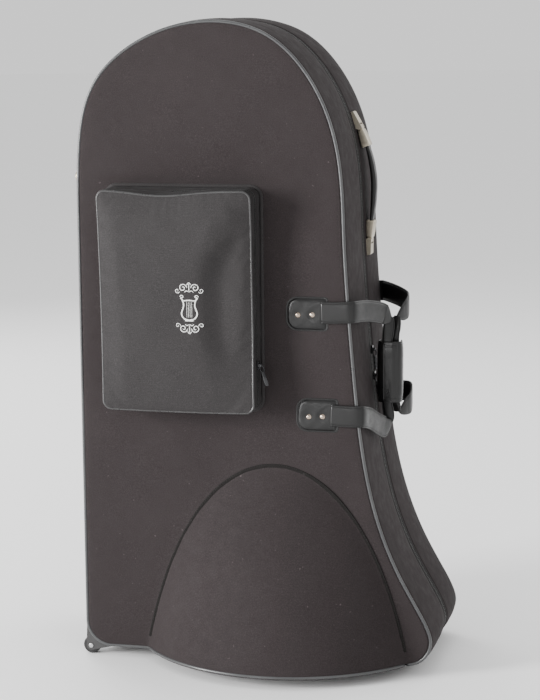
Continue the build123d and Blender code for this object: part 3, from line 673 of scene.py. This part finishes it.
# ---- fabric hinge along the spine ----
spine_width, crease = 28, 2.5
across_spine = [(0.4, parting - spine_width / 2 + spine_width * t) for t in np.linspace(0, 1, 29)]
spine = Shape().add(*wall_strip(spine_index, across_spine, closed=False))
spine = spine.build("spine_fabric", "case_nylon", None, "zipper_tape", ["front_spine", "back_spine"])
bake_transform(spine)


# ---- leather patches, rivets and screws ----
outline_pitch = 3.0
fine_stitch, slim_stitch, pocket_stitch = (3.6, 2.5, 0.35), (3.6, 2.5, 0.32), (4.2, 2.9, 0.35)


def rounded_outline(x0, x1, z0, z1, left_radius, right_radius, steps=12):
    corners = [((x0 + left_radius, z0 + left_radius), left_radius, 180, 270),
               ((x1 - right_radius, z0 + right_radius), right_radius, 270, 360),
               ((x1 - right_radius, z1 - right_radius), right_radius, 0, 90),
               ((x0 + left_radius, z1 - left_radius), left_radius, 90, 180)]
    points = np.concatenate([arc(*corner, steps) for corner in corners])
    return resample(np.concatenate([points, points[:1]]), outline_pitch)[0][:-1]


patches = {
    "upper": {"x": 385, "z": 635, "rivets": [(408, 633), (434, 634)]},
    "lower": {"x": 403, "z": 453, "rivets": [(427, 450), (452, 451)]},
}


def puffy_patch(spec):
    """Padded D-shaped patch: a flat sewn border round a raised pad, dimpled at the rivets."""
    centre = np.array([spec["x"] + 37, spec["z"]])
    edge = rounded_outline(spec["x"], spec["x"] + 78, spec["z"] - 31, spec["z"] + 31, 20, 6)
    shares = [1.0, 1.0, 0.985, 0.95, 0.925, 0.905, 0.885, 0.85, 0.8, 0.72, 0.62, 0.48, 0.34, 0.22, 0.1]
    heights = [0.0, 1.2, 1.9, 2.2, 2.0, 1.6, 2.2, 3.5, 4.5, 5.2, 5.6, 5.8, 5.9, 5.9, 5.9]
    rings = []
    for share, height in zip(shares, heights):
        ring = centre + (edge - centre) * share
        dimple = sum(1.6 * np.exp(-np.sum((ring - r) ** 2, 1) / 60) for r in spec["rivets"])
        crinkle = 0.55 * ripple(ring[:, 0], ring[:, 1], 5.0) + 0.3 * ripple(ring[:, 1], ring[:, 0], 9.0)
        rings.append(stood(ring, (dimple + crinkle) * (height > 3) - height))
    faces = grid_faces(len(rings), len(edge), False, True)
    count, middle = len(edge), len(rings) * len(edge)
    faces += [(middle - count + i, middle - count + (i + 1) % count, middle) for i in range(count)]
    points = np.concatenate(rings + [[(centre[0], -heights[-1], centre[1])]])
    row = centre + (edge - centre) * 0.907
    return points, faces, stood(np.concatenate([row, row[:1]]), -1.75)


dome = [(5.2, 0), (5.2, 0.5), (4.9, 1.2), (4.1, 2.0), (2.9, 2.7), (1.5, 3.05), (0.4, 3.15)]
rivet_seat = -4.1
screw_head = [(3.5, 0), (3.5, 0.5), (3.2, 1.1), (2.4, 1.5), (1.2, 1.65), (1.1, 0.8), (0.4, 0.7)]
for side, (reach, mirrored) in halves.items():
    body = f"case_{side}"
    metalwork, thread = Shape(mirrored), Shape(mirrored)
    for place, spec in patches.items():
        points, faces, row = puffy_patch(spec)
        pad = Shape(mirrored).add(points, faces)
        pad = pad.build(f"{side}_{place}_pad", "black_leather", body, "black_leather",
                        [f"{side}_{place}_patch"], rounder)
        stitches(thread, row, steady((0, -1, 0), row), *fine_stitch)
        for x, z in spec["rivets"]:
            turned(metalwork, dome, (x, rivet_seat, z), (0, -1, 0))
    for where, facing in (((-1.5, 19, 40), (-1, 0, 0)), ((46, 19, -1.5), (0, 0, -1))):
        turned(metalwork, screw_head, where, facing)
    metalwork.build(f"{side}_rivets", "rivet_nickel", body, "champagne_metal", [f"{side}_fasteners"])
    thread.build(f"{side}_patch_stitches", "leather_thread", body, "black_leather")


# ---- straps ----
def strap_rows(stations, per=10):
    """Path, width direction, face normal, width and thickness along a strap's stations."""
    rows = catmull([[*p, *w, width, thick] for p, w, width, thick in stations], per)
    path, thick = rows[:, :3], rows[:, 7]
    travel = heading_of(path)
    wide = unit(rows[:, 3:6] - travel * np.sum(rows[:, 3:6] * travel, 1, keepdims=True))
    return path, wide, np.cross(travel, wide), rows[:, 6], thick


def ribbon(runs, material, name, body, slot, replaces, thread_material="leather_thread", bare=0, per=10):
    """Strap made of runs of stations, edge-stitched on both faces but for its bare ends."""
    shape, thread = Shape(), Shape()
    for stations in runs:
        path, wide, face, widths, thick = strap_rows(stations, per)
        section = np.stack([bordered_section(w, t) for w, t in zip(widths, thick)])
        shape.add(*loft(path, wide, face, section))
        sewn = slice(bare, len(path) - bare)
        for across in (-1, 1):
            for up in (-1, 1):
                line = path + wide * (across * widths[:, None] * 0.4225) + face * (up * thick[:, None] * 0.36)
                stitches(thread, line[sewn], (face * up)[sewn], 4.2, 2.8, 0.36)
    shape.build(name, material, body, slot, replaces)
    thread.build(f"{name}_stitches", thread_material, body, slot)


def flat_run(points, narrowing):
    """Flat strap from its patch to its pointed end, over which the last widths narrow."""
    widths = [39] * (len(points) - len(narrowing)) + narrowing
    return [(p, (0, 0, 1), w, 2.4 if w == narrowing[-1] else 2.8) for p, w in zip(points, widths)]


def folded_run(points, hand):
    """Strap folded edge to edge and standing upright; its ends lean towards the flat runs."""
    half = [(0.25, 13, 3.6), (0.2, 19, 5), (0.1, 21, 5.6), (0, 20, 6)]
    return [(p, (1, hand * lean, 0), w, t) for p, (lean, w, t) in zip(points, [*half, half[-1], *half[::-1]])]


front_taper, back_taper = [36, 22, 5], [38, 32, 19, 5]
front_straps = [
    flat_run([(450, -4.5, 638), (478, -5.5, 638.5), (502, -4.6, 640), (511, 3, 640), (520, 38, 637),
              (531, 76, 631), (540, 104, 624), (544, 113, 619.5), (548, 122, 613.5), (552, 131, 608)],
             front_taper),
    folded_run([(548, 129.5, 614), (547.5, 130, 606), (546.5, 130, 592), (544, 129.8, 566), (544, 129.8, 513),
                (544, 129.8, 458), (546.5, 130, 440), (548, 130, 427), (548.5, 129.5, 419)], 1),
    flat_run([(467, -4.5, 454), (492, -5.5, 453), (518, -4.6, 453), (526.5, 3, 452), (531, 38, 443),
              (537, 72, 428), (543, 100, 417), (546, 111, 415), (549, 121, 418.5), (552, 130, 424)],
             front_taper)[::-1],
]
back_straps = [
    flat_run([(450, 296.5, 638), (478, 297.5, 638.5), (502, 296.6, 640), (512, 289, 640), (540, 255, 637),
              (566, 218, 631), (571, 192, 624), (567, 174, 617), (562, 161, 613), (558, 153, 611)],
             back_taper),
    folded_run([(559, 154, 612), (557, 150.5, 604), (555.5, 148, 592), (553.5, 146, 572), (553.5, 146, 516),
                (553.5, 146, 462), (555, 147.5, 452), (557, 151, 443), (560, 155.5, 436)], -1),
    flat_run([(467, 296.5, 454), (492, 297.5, 453), (518, 296.6, 453), (528, 289, 453), (549, 258, 456),
              (572, 224, 459), (577, 194, 446), (572, 176, 440), (566, 164, 436), (561, 156, 436)],
             back_taper)[::-1],
]
for side, runs in (("front", front_straps), ("back", back_straps)):
    ribbon(runs, "black_leather", f"{side}_carry_strap", f"case_{side}", "black_leather", [f"{side}_strap"])


def grip():
    """Leather grip wrap, open towards the back, pillowed between its sewn ends."""
    half_x, half_y, corner, thick, opening = 23.0, 18.0, 14.5, 3.2, 13.0
    middle, half_length, flap_x = np.array([548, 141]), 57, 11.5
    outer = rounded_outline(-half_x, half_x, -half_y, half_y, corner, corner, 10)
    outer = np.roll(outer, -int(np.argmax(outer[:, 1] - abs(outer[:, 0] - 6))), 0)
    outer = outer[(outer[:, 1] < 12) | (np.abs(outer[:, 0] - 5.5) > opening)]
    out = heading_of(outer)
    out = np.stack([out[:, 1], -out[:, 0]], 1)
    groove = 1.5 * np.exp(-((outer[:, :1] - flap_x) / 1.8) ** 2) * (outer[:, 1:] < 0)

    def level(ring, z):
        return np.stack([*(middle + ring).T, np.full(len(ring), z)], 1)

    rows = []
    for z in np.linspace(456.5, 569.5, 40):
        t = (z - 513) / half_length
        swell = 0.6 - 2.2 * abs(t) ** 6 - 0.9 * math.exp(-((abs(t) - 0.86) / 0.03) ** 2)
        ring_out = outer + out * (swell - groove + 0.2 * ripple(outer[:, :1] * 3, z, 3.0))
        rows.append(level(np.concatenate([ring_out, (outer - out * thick)[::-1]]), z))
    count = len(rows[0])
    faces = grid_faces(len(rows), count, False, True)
    for base in (0, (len(rows) - 1) * count):
        faces += [(base + i, base + i + 1, base + count - 2 - i, base + count - 1 - i)
                  for i in range(count // 2 - 1)]
    wrap = Shape().add(np.concatenate(rows), faces)
    wrap = wrap.build("grip_leather_wrap", "grip_leather", "case_front", "black_leather", ["grip_wrap"],
                      rounder)
    thread = Shape()
    level_out = np.concatenate([out, np.zeros((len(out), 1))], 1)
    for z in (463.5, 562.5):
        stitches(thread, level(outer + out * 0.2, z), level_out, *slim_stitch)
    # Flap edge down the front, with its own stitch row.
    edge = np.stack([np.full(30, 538.5), np.full(30, 122.3), np.linspace(461, 565, 30)], 1)
    forward = steady((0, -1, 0), edge)
    bead = Shape().add(*loft(edge, steady((1, 0, 0), edge), forward, strap_section(3.2, 1.8, 12, 0.7)))
    bead.build("grip_flap_edge", "grip_leather", "case_front", "black_leather")
    stitches(thread, edge + (3.4, -0.5, 0), forward, *slim_stitch)
    thread.build("grip_stitches", "leather_thread", "case_front", "black_leather")


grip()

# ---- luggage handle and zipper pullers ----
handle_y = 197
strip = [((x, handle_y, z), (0, 1, 0), width, thick) for x, z, width, thick in (
    (490.6, 929, 19, 3.2), (495.8, 917, 23.5, 5), (502.2, 893, 25, 6.6), (506.2, 868, 25.5, 7.2),
    (507.4, 847, 25.5, 7.2), (506.4, 820, 25, 6.6), (503.8, 790, 23.5, 5), (501.6, 778, 19, 3.2))]
ribbon([strip], "black_leather", "handle_leather", "handle_middle", "black_leather", ["handle_strip"], bare=9)


def handle_cap(pivot, tip, name, body):
    """Cast end cap: a narrow barrel on the pin that widens into the strip's socket."""
    pivot, tip = np.array(pivot, float), np.array(tip, float)
    direction = unit(tip - pivot)
    length = float(np.linalg.norm(tip - pivot))
    # Distance from the pin, thickness and width.
    stations = np.array([(-5.2, 5, 10), (-5.0, 7, 12), (-3.6, 8.6, 12.6), (3.4, 8.8, 12.8), (4.2, 8.9, 20),
                         (4.6, 9.4, 23.6), (6, 11, 24.6), (14, 13.6, 25.4), (length - 6, 16.2, 26.4),
                         (length - 0.8, 16.6, 26.4), (length + 0.6, 15, 25.2), (length + 0.8, 10, 20)])
    path = stood(pivot + direction * stations[:, :1], handle_y)
    section = np.stack([strap_section(w, t, 40, 0.2) for _, t, w in stations])
    out = steady((-direction[1], 0, direction[0]), path)
    cap = Shape().add(*loft(path, steady((0, 1, 0), path), out, section))
    cap.build(name.replace("end", "cap"), "champagne", body, "champagne_metal", [name])


handle_cap((482, 954), (494, 920), "handle_end_upper", "handle_top_link")
handle_cap((499.5, 748), (502, 783), "handle_end_lower", "handle_bottom_link")


def zip_puller(zipper, slant, twist):
    """Wire loop on the slider's pin with a cast tongue hanging from it, leaning and twisted outward."""
    node = f"{zipper}_zip_pull"
    low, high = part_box(node)
    ring_width, ring_height, pin_drop = 3.8, 7.0, 2.1
    x, y = (np.array((low + high) / 2)[:2] / MM) - origin[:2]
    z = high.z / MM - origin[2] - pin_drop
    turn = np.linspace(0, 2 * math.pi, 28, endpoint=False)
    swing, facing = (math.sin(twist), math.cos(twist)), (math.cos(twist), -math.sin(twist), 0)
    ring = np.stack([x + slant * ring_height * (1 - np.cos(turn)) + ring_width * swing[0] * np.sin(turn),
                     y + ring_width * swing[1] * np.sin(turn), z - 6.2 + ring_height * np.cos(turn)], 1)
    across = steady(facing, ring)
    pull = Shape()
    pull.add(*loft(ring, across, np.cross(ring_heading(ring), across), circle_section(1.15, 10), True))
    # Height below the pin, width and thickness.
    marks = [(-10.5, 3, 1.6), (-11.2, 5, 2.6), (-14, 6.2, 3.0), (-20, 7.2, 2.6), (-28, 8, 2.4),
             (-34, 7.6, 2.6), (-36, 6, 2.2), (-36.8, 3.4, 1.2)]
    path = np.array([[x - slant * m, y, z + m] for m, _, _ in marks])
    section = np.stack([strap_section(w, t, 24, 0.45) for _, w, t in marks])
    pull.add(*loft(path, steady((*swing, 0), path), steady(facing, path), section))
    pull.build(f"{node}er", "gunmetal", f"{zipper}_pull", "gunmetal", [node])


for zipper, slant, twist in (("upper", 0.1, 0.75), ("lower", 0.1, 0.75), ("pocket", 0.32, 0.9)):
    zip_puller(zipper, slant, twist)


# ---- front pocket ----
pocket_x, pocket_z, half_w, half_h, pocket_corner = 199.0, 659.0, 140.0, 197.0, 16
fold_x, pocket_reach, base_reach, zip_width = 190.0, 63.0, 30.0, 4.0


def ease(t):
    t = np.clip(t, 0, 1)
    return t * t * (3 - 2 * t)


def hump(t, centre, width, power=2):
    """Bell curve, flatter on top with a higher power."""
    return np.exp(-((t - centre) / width) ** power)


def pocket_share(x, z):
    """Place on the pocket's face, -1 to 1 across and up."""
    return (x - pocket_x) / half_w, (z - pocket_z) / half_h


def depth_change(x, z, reach):
    """The full bag stands out further at its top, and slumps beyond a slanting crest on its open side."""
    u, v = pocket_share(x, z)
    crest = 0.28 + 0.42 * ease((v - 0.15) / 0.75) + 0.28 * ease((-v - 0.25) / 0.6)
    slump_depth, slump_width, top_lean, fade = 14.0, 0.36, 3.0, 26
    slump = slump_depth * ease((u - crest) / slump_width) * hump(v, 0.12, 0.78, 4)
    return top_lean * v * reach / pocket_reach - slump * ease((reach - base_reach - zip_width) / fade)


def settle(x, z, amount):
    """The soft bag's own shape: its top sags, its sides draw in and its foot spreads."""
    u, v = pocket_share(x, z)
    top, foot = np.clip(v, 0, 1) ** 2, np.clip(-v, 0, 1) ** 2
    sag = amount * (9.0 * hump(u, -0.15, 0.5) * top + 1.5 * (1 - u**2) * foot)
    draw = amount * (2.5 * (1 - v**2) * u + 2.0 * v)
    return x - draw, z - sag


pocket_edge = rounded_outline(pocket_x - half_w, pocket_x + half_w, pocket_z - half_h, pocket_z + half_h,
                              pocket_corner, pocket_corner)
edge_heading = ring_heading(pocket_edge)
edge_out3 = stood(np.stack([edge_heading[:, 1], -edge_heading[:, 0]], 1))
forward = steady((0, -1, 0), edge_out3)
closed_edge = np.r_[0:len(pocket_edge), 0]


def pocket_line(y, grow=0.0):
    """The pocket's outline at a depth in front of the panel, settled more the further out."""
    x, z = settle(*pocket_edge.T, y / pocket_reach)
    out = y + depth_change(*pocket_edge.T, y)
    return np.stack([x, -out, z], 1) + edge_out3 * grow


def pocket_band(inner, outer, count, waves, seed):
    """Pillowed band round the pocket between two depths in front of the panel."""
    rows = []
    run = np.arange(len(pocket_edge)) * outline_pitch
    for t in np.linspace(0, 1, count):
        y = inner + (outer - inner) * t
        swell = waves * math.sin(math.pi * t) * (1 + 0.8 * ripple(run * 2.2, y * 6, 1.0, seed))
        rows.append(pocket_line(y) + edge_out3 * swell[:, None])
    return np.concatenate(rows), grid_faces(count, len(pocket_edge), False, True)


def sew(shape, y, grow, facing):
    """Stitch row round the pocket at a depth in front of the panel."""
    stitches(shape, pocket_line(y, grow)[closed_edge], facing[closed_edge], *pocket_stitch)


hem = [pocket_line(y, grow) for y, grow in ((2.4, 0.0), (2.6, 3.0), (2.2, 5.6), (0.6, 6.0))]
base = Shape().add(*pocket_band(0.5, base_reach, 12, 2.0, 0.4))
base.add(np.concatenate(hem), grid_faces(len(hem), len(pocket_edge), False, True))
base.build("pocket_gusset", "pocket_nylon", "case_front", "pocket_nylon", ["pocket_base"], cloth_layer(1.4))

# Zipper from the middle of the top round the open side to the middle of the foot.
flap_side = np.where(pocket_edge[:, 0] > fold_x + 0.5)[0]
breaks = np.where(np.diff(flap_side) > 1)[0]
if len(breaks):
    flap_side = np.r_[flap_side[breaks[0] + 1:], flap_side[:breaks[0] + 1]]
band = [pocket_line(base_reach + y, grow)[flap_side]
        for y, grow in ((-3, 0.6), (0, 0.3), (2, 0.4), (zip_width - 0.2, 0.3))]
zip_tape = Shape().add(np.concatenate(band), grid_faces(len(band), len(flap_side)))
zip_tape.build("pocket_zip_tape", "tape_weave", "case_front", "zipper_coil", ["pocket_zip_coil"],
               cloth_layer(1.0))
zip_teeth, base_thread = Shape(), Shape()
for y in (base_reach + 0.8, base_reach + 2.9):
    teeth(zip_teeth, pocket_line(y, 0.3)[flap_side], edge_out3[flap_side], forward[flap_side], 2.2,
          (1.2, 1.9, 1.0))
zip_teeth.build("pocket_zip_teeth", "coil_nylon", "case_front", "zipper_coil")
sew(base_thread, 2.9, 4.2, forward)
sew(base_thread, base_reach - 4.5, 0.5, edge_out3)
base_thread.build("pocket_base_stitches", "edge_thread", "case_front", "pocket_nylon")


def face_grid():
    """Pocket face as a grid whose edge is the settled outline."""
    columns, middle_rows, corner_rows, clear = 54, 64, 6, 21
    foot, head = pocket_z - half_h, pocket_z + half_h
    corner = pocket_corner * (1 - np.cos(np.linspace(0, math.pi / 2, corner_rows)))
    heights = np.concatenate([foot + corner, np.linspace(foot + clear, head - clear, middle_rows),
                              (head - corner)[::-1]])
    over = np.maximum(0, np.abs(heights - pocket_z) - (half_h - pocket_corner))
    wide = half_w - pocket_corner + np.sqrt(np.maximum(pocket_corner**2 - over**2, 0))
    x = pocket_x + wide[:, None] * np.linspace(-1, 1, columns)
    z = np.broadcast_to(heights[:, None], x.shape)
    y = -pocket_reach - depth_change(x, z, pocket_reach)
    x, z = settle(x, z, 1.0)
    return np.stack([x, y, z], -1)


def drape(obj, pinned, frames, pull, slack, cap):
    """Cloth simulation with pinned edge; the result is applied, its travel capped."""
    rest = np.array([v.co for v in obj.data.vertices])
    group = obj.vertex_groups.new(name="pinned")
    group.add(pinned, 1.0, "REPLACE")
    cloth = obj.modifiers.new("cloth", "CLOTH")
    settings = cloth.settings
    settings.quality, settings.mass = 6, 0.15
    settings.tension_stiffness = settings.compression_stiffness = 12
    settings.shear_stiffness, settings.bending_stiffness = 5, 1.2
    settings.shrink_min = -slack
    settings.vertex_group_mass = "pinned"
    scene = bpy.context.scene
    scene.gravity = pull
    scene.frame_start, scene.frame_end = 1, frames
    cloth.point_cache.frame_start, cloth.point_cache.frame_end = 1, frames
    for f in range(1, frames + 1):
        scene.frame_set(f)
    shaped = obj.evaluated_get(bpy.context.evaluated_depsgraph_get()).to_mesh()
    found = np.array([v.co for v in shaped.vertices])
    obj.modifiers.remove(cloth)
    move = found - rest
    size = np.linalg.norm(move, axis=1, keepdims=True)
    move *= np.minimum(1, cap / np.maximum(size, 1e-9))
    obj.data.vertices.foreach_set("co", (rest + move).ravel())
    obj.data.update()
    obj.vertex_groups.clear()
    scene.frame_set(1)


grid = face_grid()
rows, columns = grid.shape[:2]
u, v = pocket_share(grid[..., 0], grid[..., 2])
rim_width = 36
rim_fall = np.clip(np.minimum((1 - np.abs(u)) * half_w, (1 - np.abs(v)) * half_h) / rim_width, 0, 1)
tuck = 4.0 * hump(u, -0.1, 0.4) * hump(v, 1.0, 0.3)
corner_fold = 2.6 * hump(u - v, -0.1, 0.16) * hump((u + v) / 2, 0.62, 0.34, 4)
swell = 5.0 * np.clip(1 - u**2, 0, 1) * np.clip(1 - v**2, 0, 1)
swell -= 3.0 * hump(u, 0.55, 0.25) * hump(v, -0.05, 0.5)
waves = 0.3 + 0.9 * ripple(grid[..., 0], grid[..., 2], 1.2, 2.2)
grid[..., 1] -= (waves + corner_fold + swell - tuck) * rim_fall
face = Shape().add(grid, grid_faces(rows, columns))
face = face.build("pocket_face", "pocket_nylon", None, "pocket_nylon", ["pocket_fixed", "pocket_flap"])
pins = [r * columns + c for r in range(rows) for c in range(columns)
        if r in (0, rows - 1) or c in (0, columns - 1)]
drape(face, pins, frames=22, pull=(0, -4, -9.8), slack=0.006, cap=0.006)

# The flap's gusset, the face's piping and their stitches, built without a body like the face.
seam_depth = np.where(pocket_edge[:, 0] > fold_x, base_reach + zip_width + 0.3, base_reach - 1.0)
gusset = Shape().add(*pocket_band(seam_depth, pocket_reach - 1, 10, 1.6, 1.7))
gusset = gusset.build("pocket_lid_gusset", "pocket_nylon", None, "pocket_nylon")
rim_line = pocket_line(pocket_reach - 1.0, -1.0)
rim_piping = Shape().add(*loft(rim_line, edge_out3, forward, circle_section(2.2, piping_sides), True))
rim_piping = rim_piping.build("pocket_face_piping", "pocket_vinyl", None, "vinyl_piping",
                              ["pocket_fixed_piping", "pocket_flap_piping"])
rim_thread = Shape()
sew(rim_thread, pocket_reach + 0.7, -6.0, forward)
sew(rim_thread, pocket_reach - 5, 0.9, edge_out3)
rim_thread = rim_thread.build("pocket_face_stitches", "edge_thread", None, "pocket_nylon")


# ---- embroidered ornament: a lyre between scrolls ----
def surface_depth(obj):
    tree = BVHTree.FromObject(obj, bpy.context.evaluated_depsgraph_get())

    def depth_at(x, z):
        start = (origin + (x, -200, z)) * MM
        hit = tree.ray_cast(Vector(start), Vector((0, 1, 0)))[0]
        return hit.y / MM - origin[1] if hit else -pocket_reach
    return depth_at


def spiral(centre, radius, start, turns, hand):
    t = np.linspace(0, 1, 40)
    angle = math.radians(start) + hand * 2 * math.pi * turns * t
    reach = radius * (1 - 0.82 * t)
    return np.stack([centre[0] + reach * np.cos(angle), centre[1] + reach * np.sin(angle)], 1)


def ornament():
    """Generic lyre with scrollwork, as (polyline, half width) in the pocket's plane."""
    lines = []
    for hand in (-1, 1):
        outer, inner = (0, 180) if hand > 0 else (180, 0)
        arm = [(0, -21), (hand * 9, -19), (hand * 14, -10), (hand * 10, 4), (hand * 12, 14), (hand * 16, 19)]
        lines += [(catmull(arm, 8), 1.5), (spiral((hand * 13, 20), 3.6, outer, 1.1, hand), 1.0)]
        for flip in (-1, 1):
            stem = [(0, flip * 29), (hand * 5, flip * 31), (hand * 8, flip * 28)]
            lines += [(spiral((hand * 11, flip * 36), 7.5, inner, 1.4, -hand * flip), 1.0),
                      (spiral((hand * 21, flip * 31), 4.6, inner + 20 * hand, 1.2, hand * flip), 0.8),
                      (catmull(stem, 8), 0.9)]
    lines += [(np.array([(x, -17), (x, 12)]), 0.45) for x in (-4.5, -1.5, 1.5, 4.5)]
    lines += [(np.array([(-12, 13), (0, 14.2), (12, 13)]), 1.3), (np.array([(-8, -22), (8, -22)]), 1.6)]
    for flip in (-1, 1):
        lines += [(catmull([(0, flip * z) for z in (30, 38, 44)], 8), 1.1),
                  (catmull([(-4, flip * 41), (0, flip * 45.5), (4, flip * 41)], 8), 0.9)]
    return lines


depth_at = surface_depth(face)
motif_place, stroke, raised = (228, 650), 0.8, 0.35
motif = Shape()
for line, half in ornament():
    flat = resample(line, 1.2)[0] + motif_place
    path = stood(flat, [depth_at(x, z) - raised for x, z in flat])
    out = steady((0, -1, 0), path)
    taper = np.interp(np.arange(len(path)), [0, 2, len(path) - 3, len(path) - 1], [0.5, 1, 1, 0.4])
    section = circle_section(1.0, 8)[None] * (taper[:, None, None] * (stroke * half, 0.55))
    motif.add(*loft(path, unit(np.cross(heading_of(path), out)), out, section))
motif.build("lyre_embroidery", "silver_thread", "pocket_lid", "silver_thread", ["pocket_emblem"])

for piece in (face, gusset, rim_piping, rim_thread):
    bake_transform(piece)


# ---- soft fittings inside the back half ----
def softened(node, name, material, voxel=6.0, rounds=6):
    """A foam block under plush: the CAD solid remeshed and rounded."""
    obj = bpy.data.objects.new(name, frame["nodes"][node].data.copy())
    bpy.context.scene.collection.objects.link(obj)
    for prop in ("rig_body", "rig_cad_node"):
        if prop in obj:
            del obj[prop]
    remesh = obj.modifiers.new("remesh", "REMESH")
    remesh.mode, remesh.voxel_size = "VOXEL", voxel * MM
    smooth = obj.modifiers.new("smooth", "SMOOTH")
    smooth.factor, smooth.iterations = 0.5, rounds
    mesh = bpy.data.meshes.new_from_object(obj.evaluated_get(bpy.context.evaluated_depsgraph_get()))
    obj.modifiers.clear()
    obj.data = mesh
    mesh.materials.clear()
    mesh.materials.append(paints[material])
    mesh.shade_smooth()
    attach(obj, "case_back")
    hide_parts(node)
    return obj


softened("bow_cradle", "bow_cushion", "plush_black")
softened("throat_cradle", "throat_cushion", "plush_black")


def arch_strap(x0, x1, foot_y, crest_y, z, name, node):
    """Webbing arched over a cradle, from foot to foot."""
    half, rise = (x1 - x0) / 2, foot_y - crest_y
    radius = (half**2 + rise**2) / (2 * rise)
    sweep = math.asin(half / radius)
    stations = [((x0 + half + radius * math.sin(a), crest_y + radius - radius * math.cos(a), z + 19),
                 (0, 0, 1), 38, 2.5) for a in np.linspace(-sweep, sweep, 17)]
    ribbon([stations], "webbing", name, "case_back", "webbing", [node], "edge_thread", per=4)


arch_strap(178, 362, 187, 142, 401, "throat_webbing", "throat_strap")
arch_strap(110, 370, 272, 205, 860, "bow_webbing", "bow_strap")

# ---- the frame's own hard pieces ----
handle_parts = [f"handle_{part}_{end}" for part in ("base", "end") for end in ("upper", "lower")]
zip_parts = [f"{zipper}_zip_{part}" for zipper in ("upper", "lower", "pocket") for part in ("slider", "pull")]
finishes = [
    ("housing", ["wheel_bracket"]), ("hub_plastic", ["wheel_hub"]), ("tyre_rubber", ["wheel_tyre", "foot"]),
    ("axle_steel", ["axle"]), ("champagne", ["side_stud", *handle_parts]), ("gunmetal", zip_parts),
]
finish = {node: material for material, nodes in finishes for node in nodes}
for name, obj in frame["nodes"].items():
    key = name.removeprefix("front_").removeprefix("back_")
    if key not in finish:
        continue
    obj.data.materials.clear()
    obj.data.materials.append(paints[finish[key]])
    bevel = obj.modifiers.new("worn_edges", "BEVEL")
    bevel.width, bevel.segments, bevel.limit_method = 0.5 * MM, 2, "ANGLE"
    bevel.angle_limit = math.radians(35)
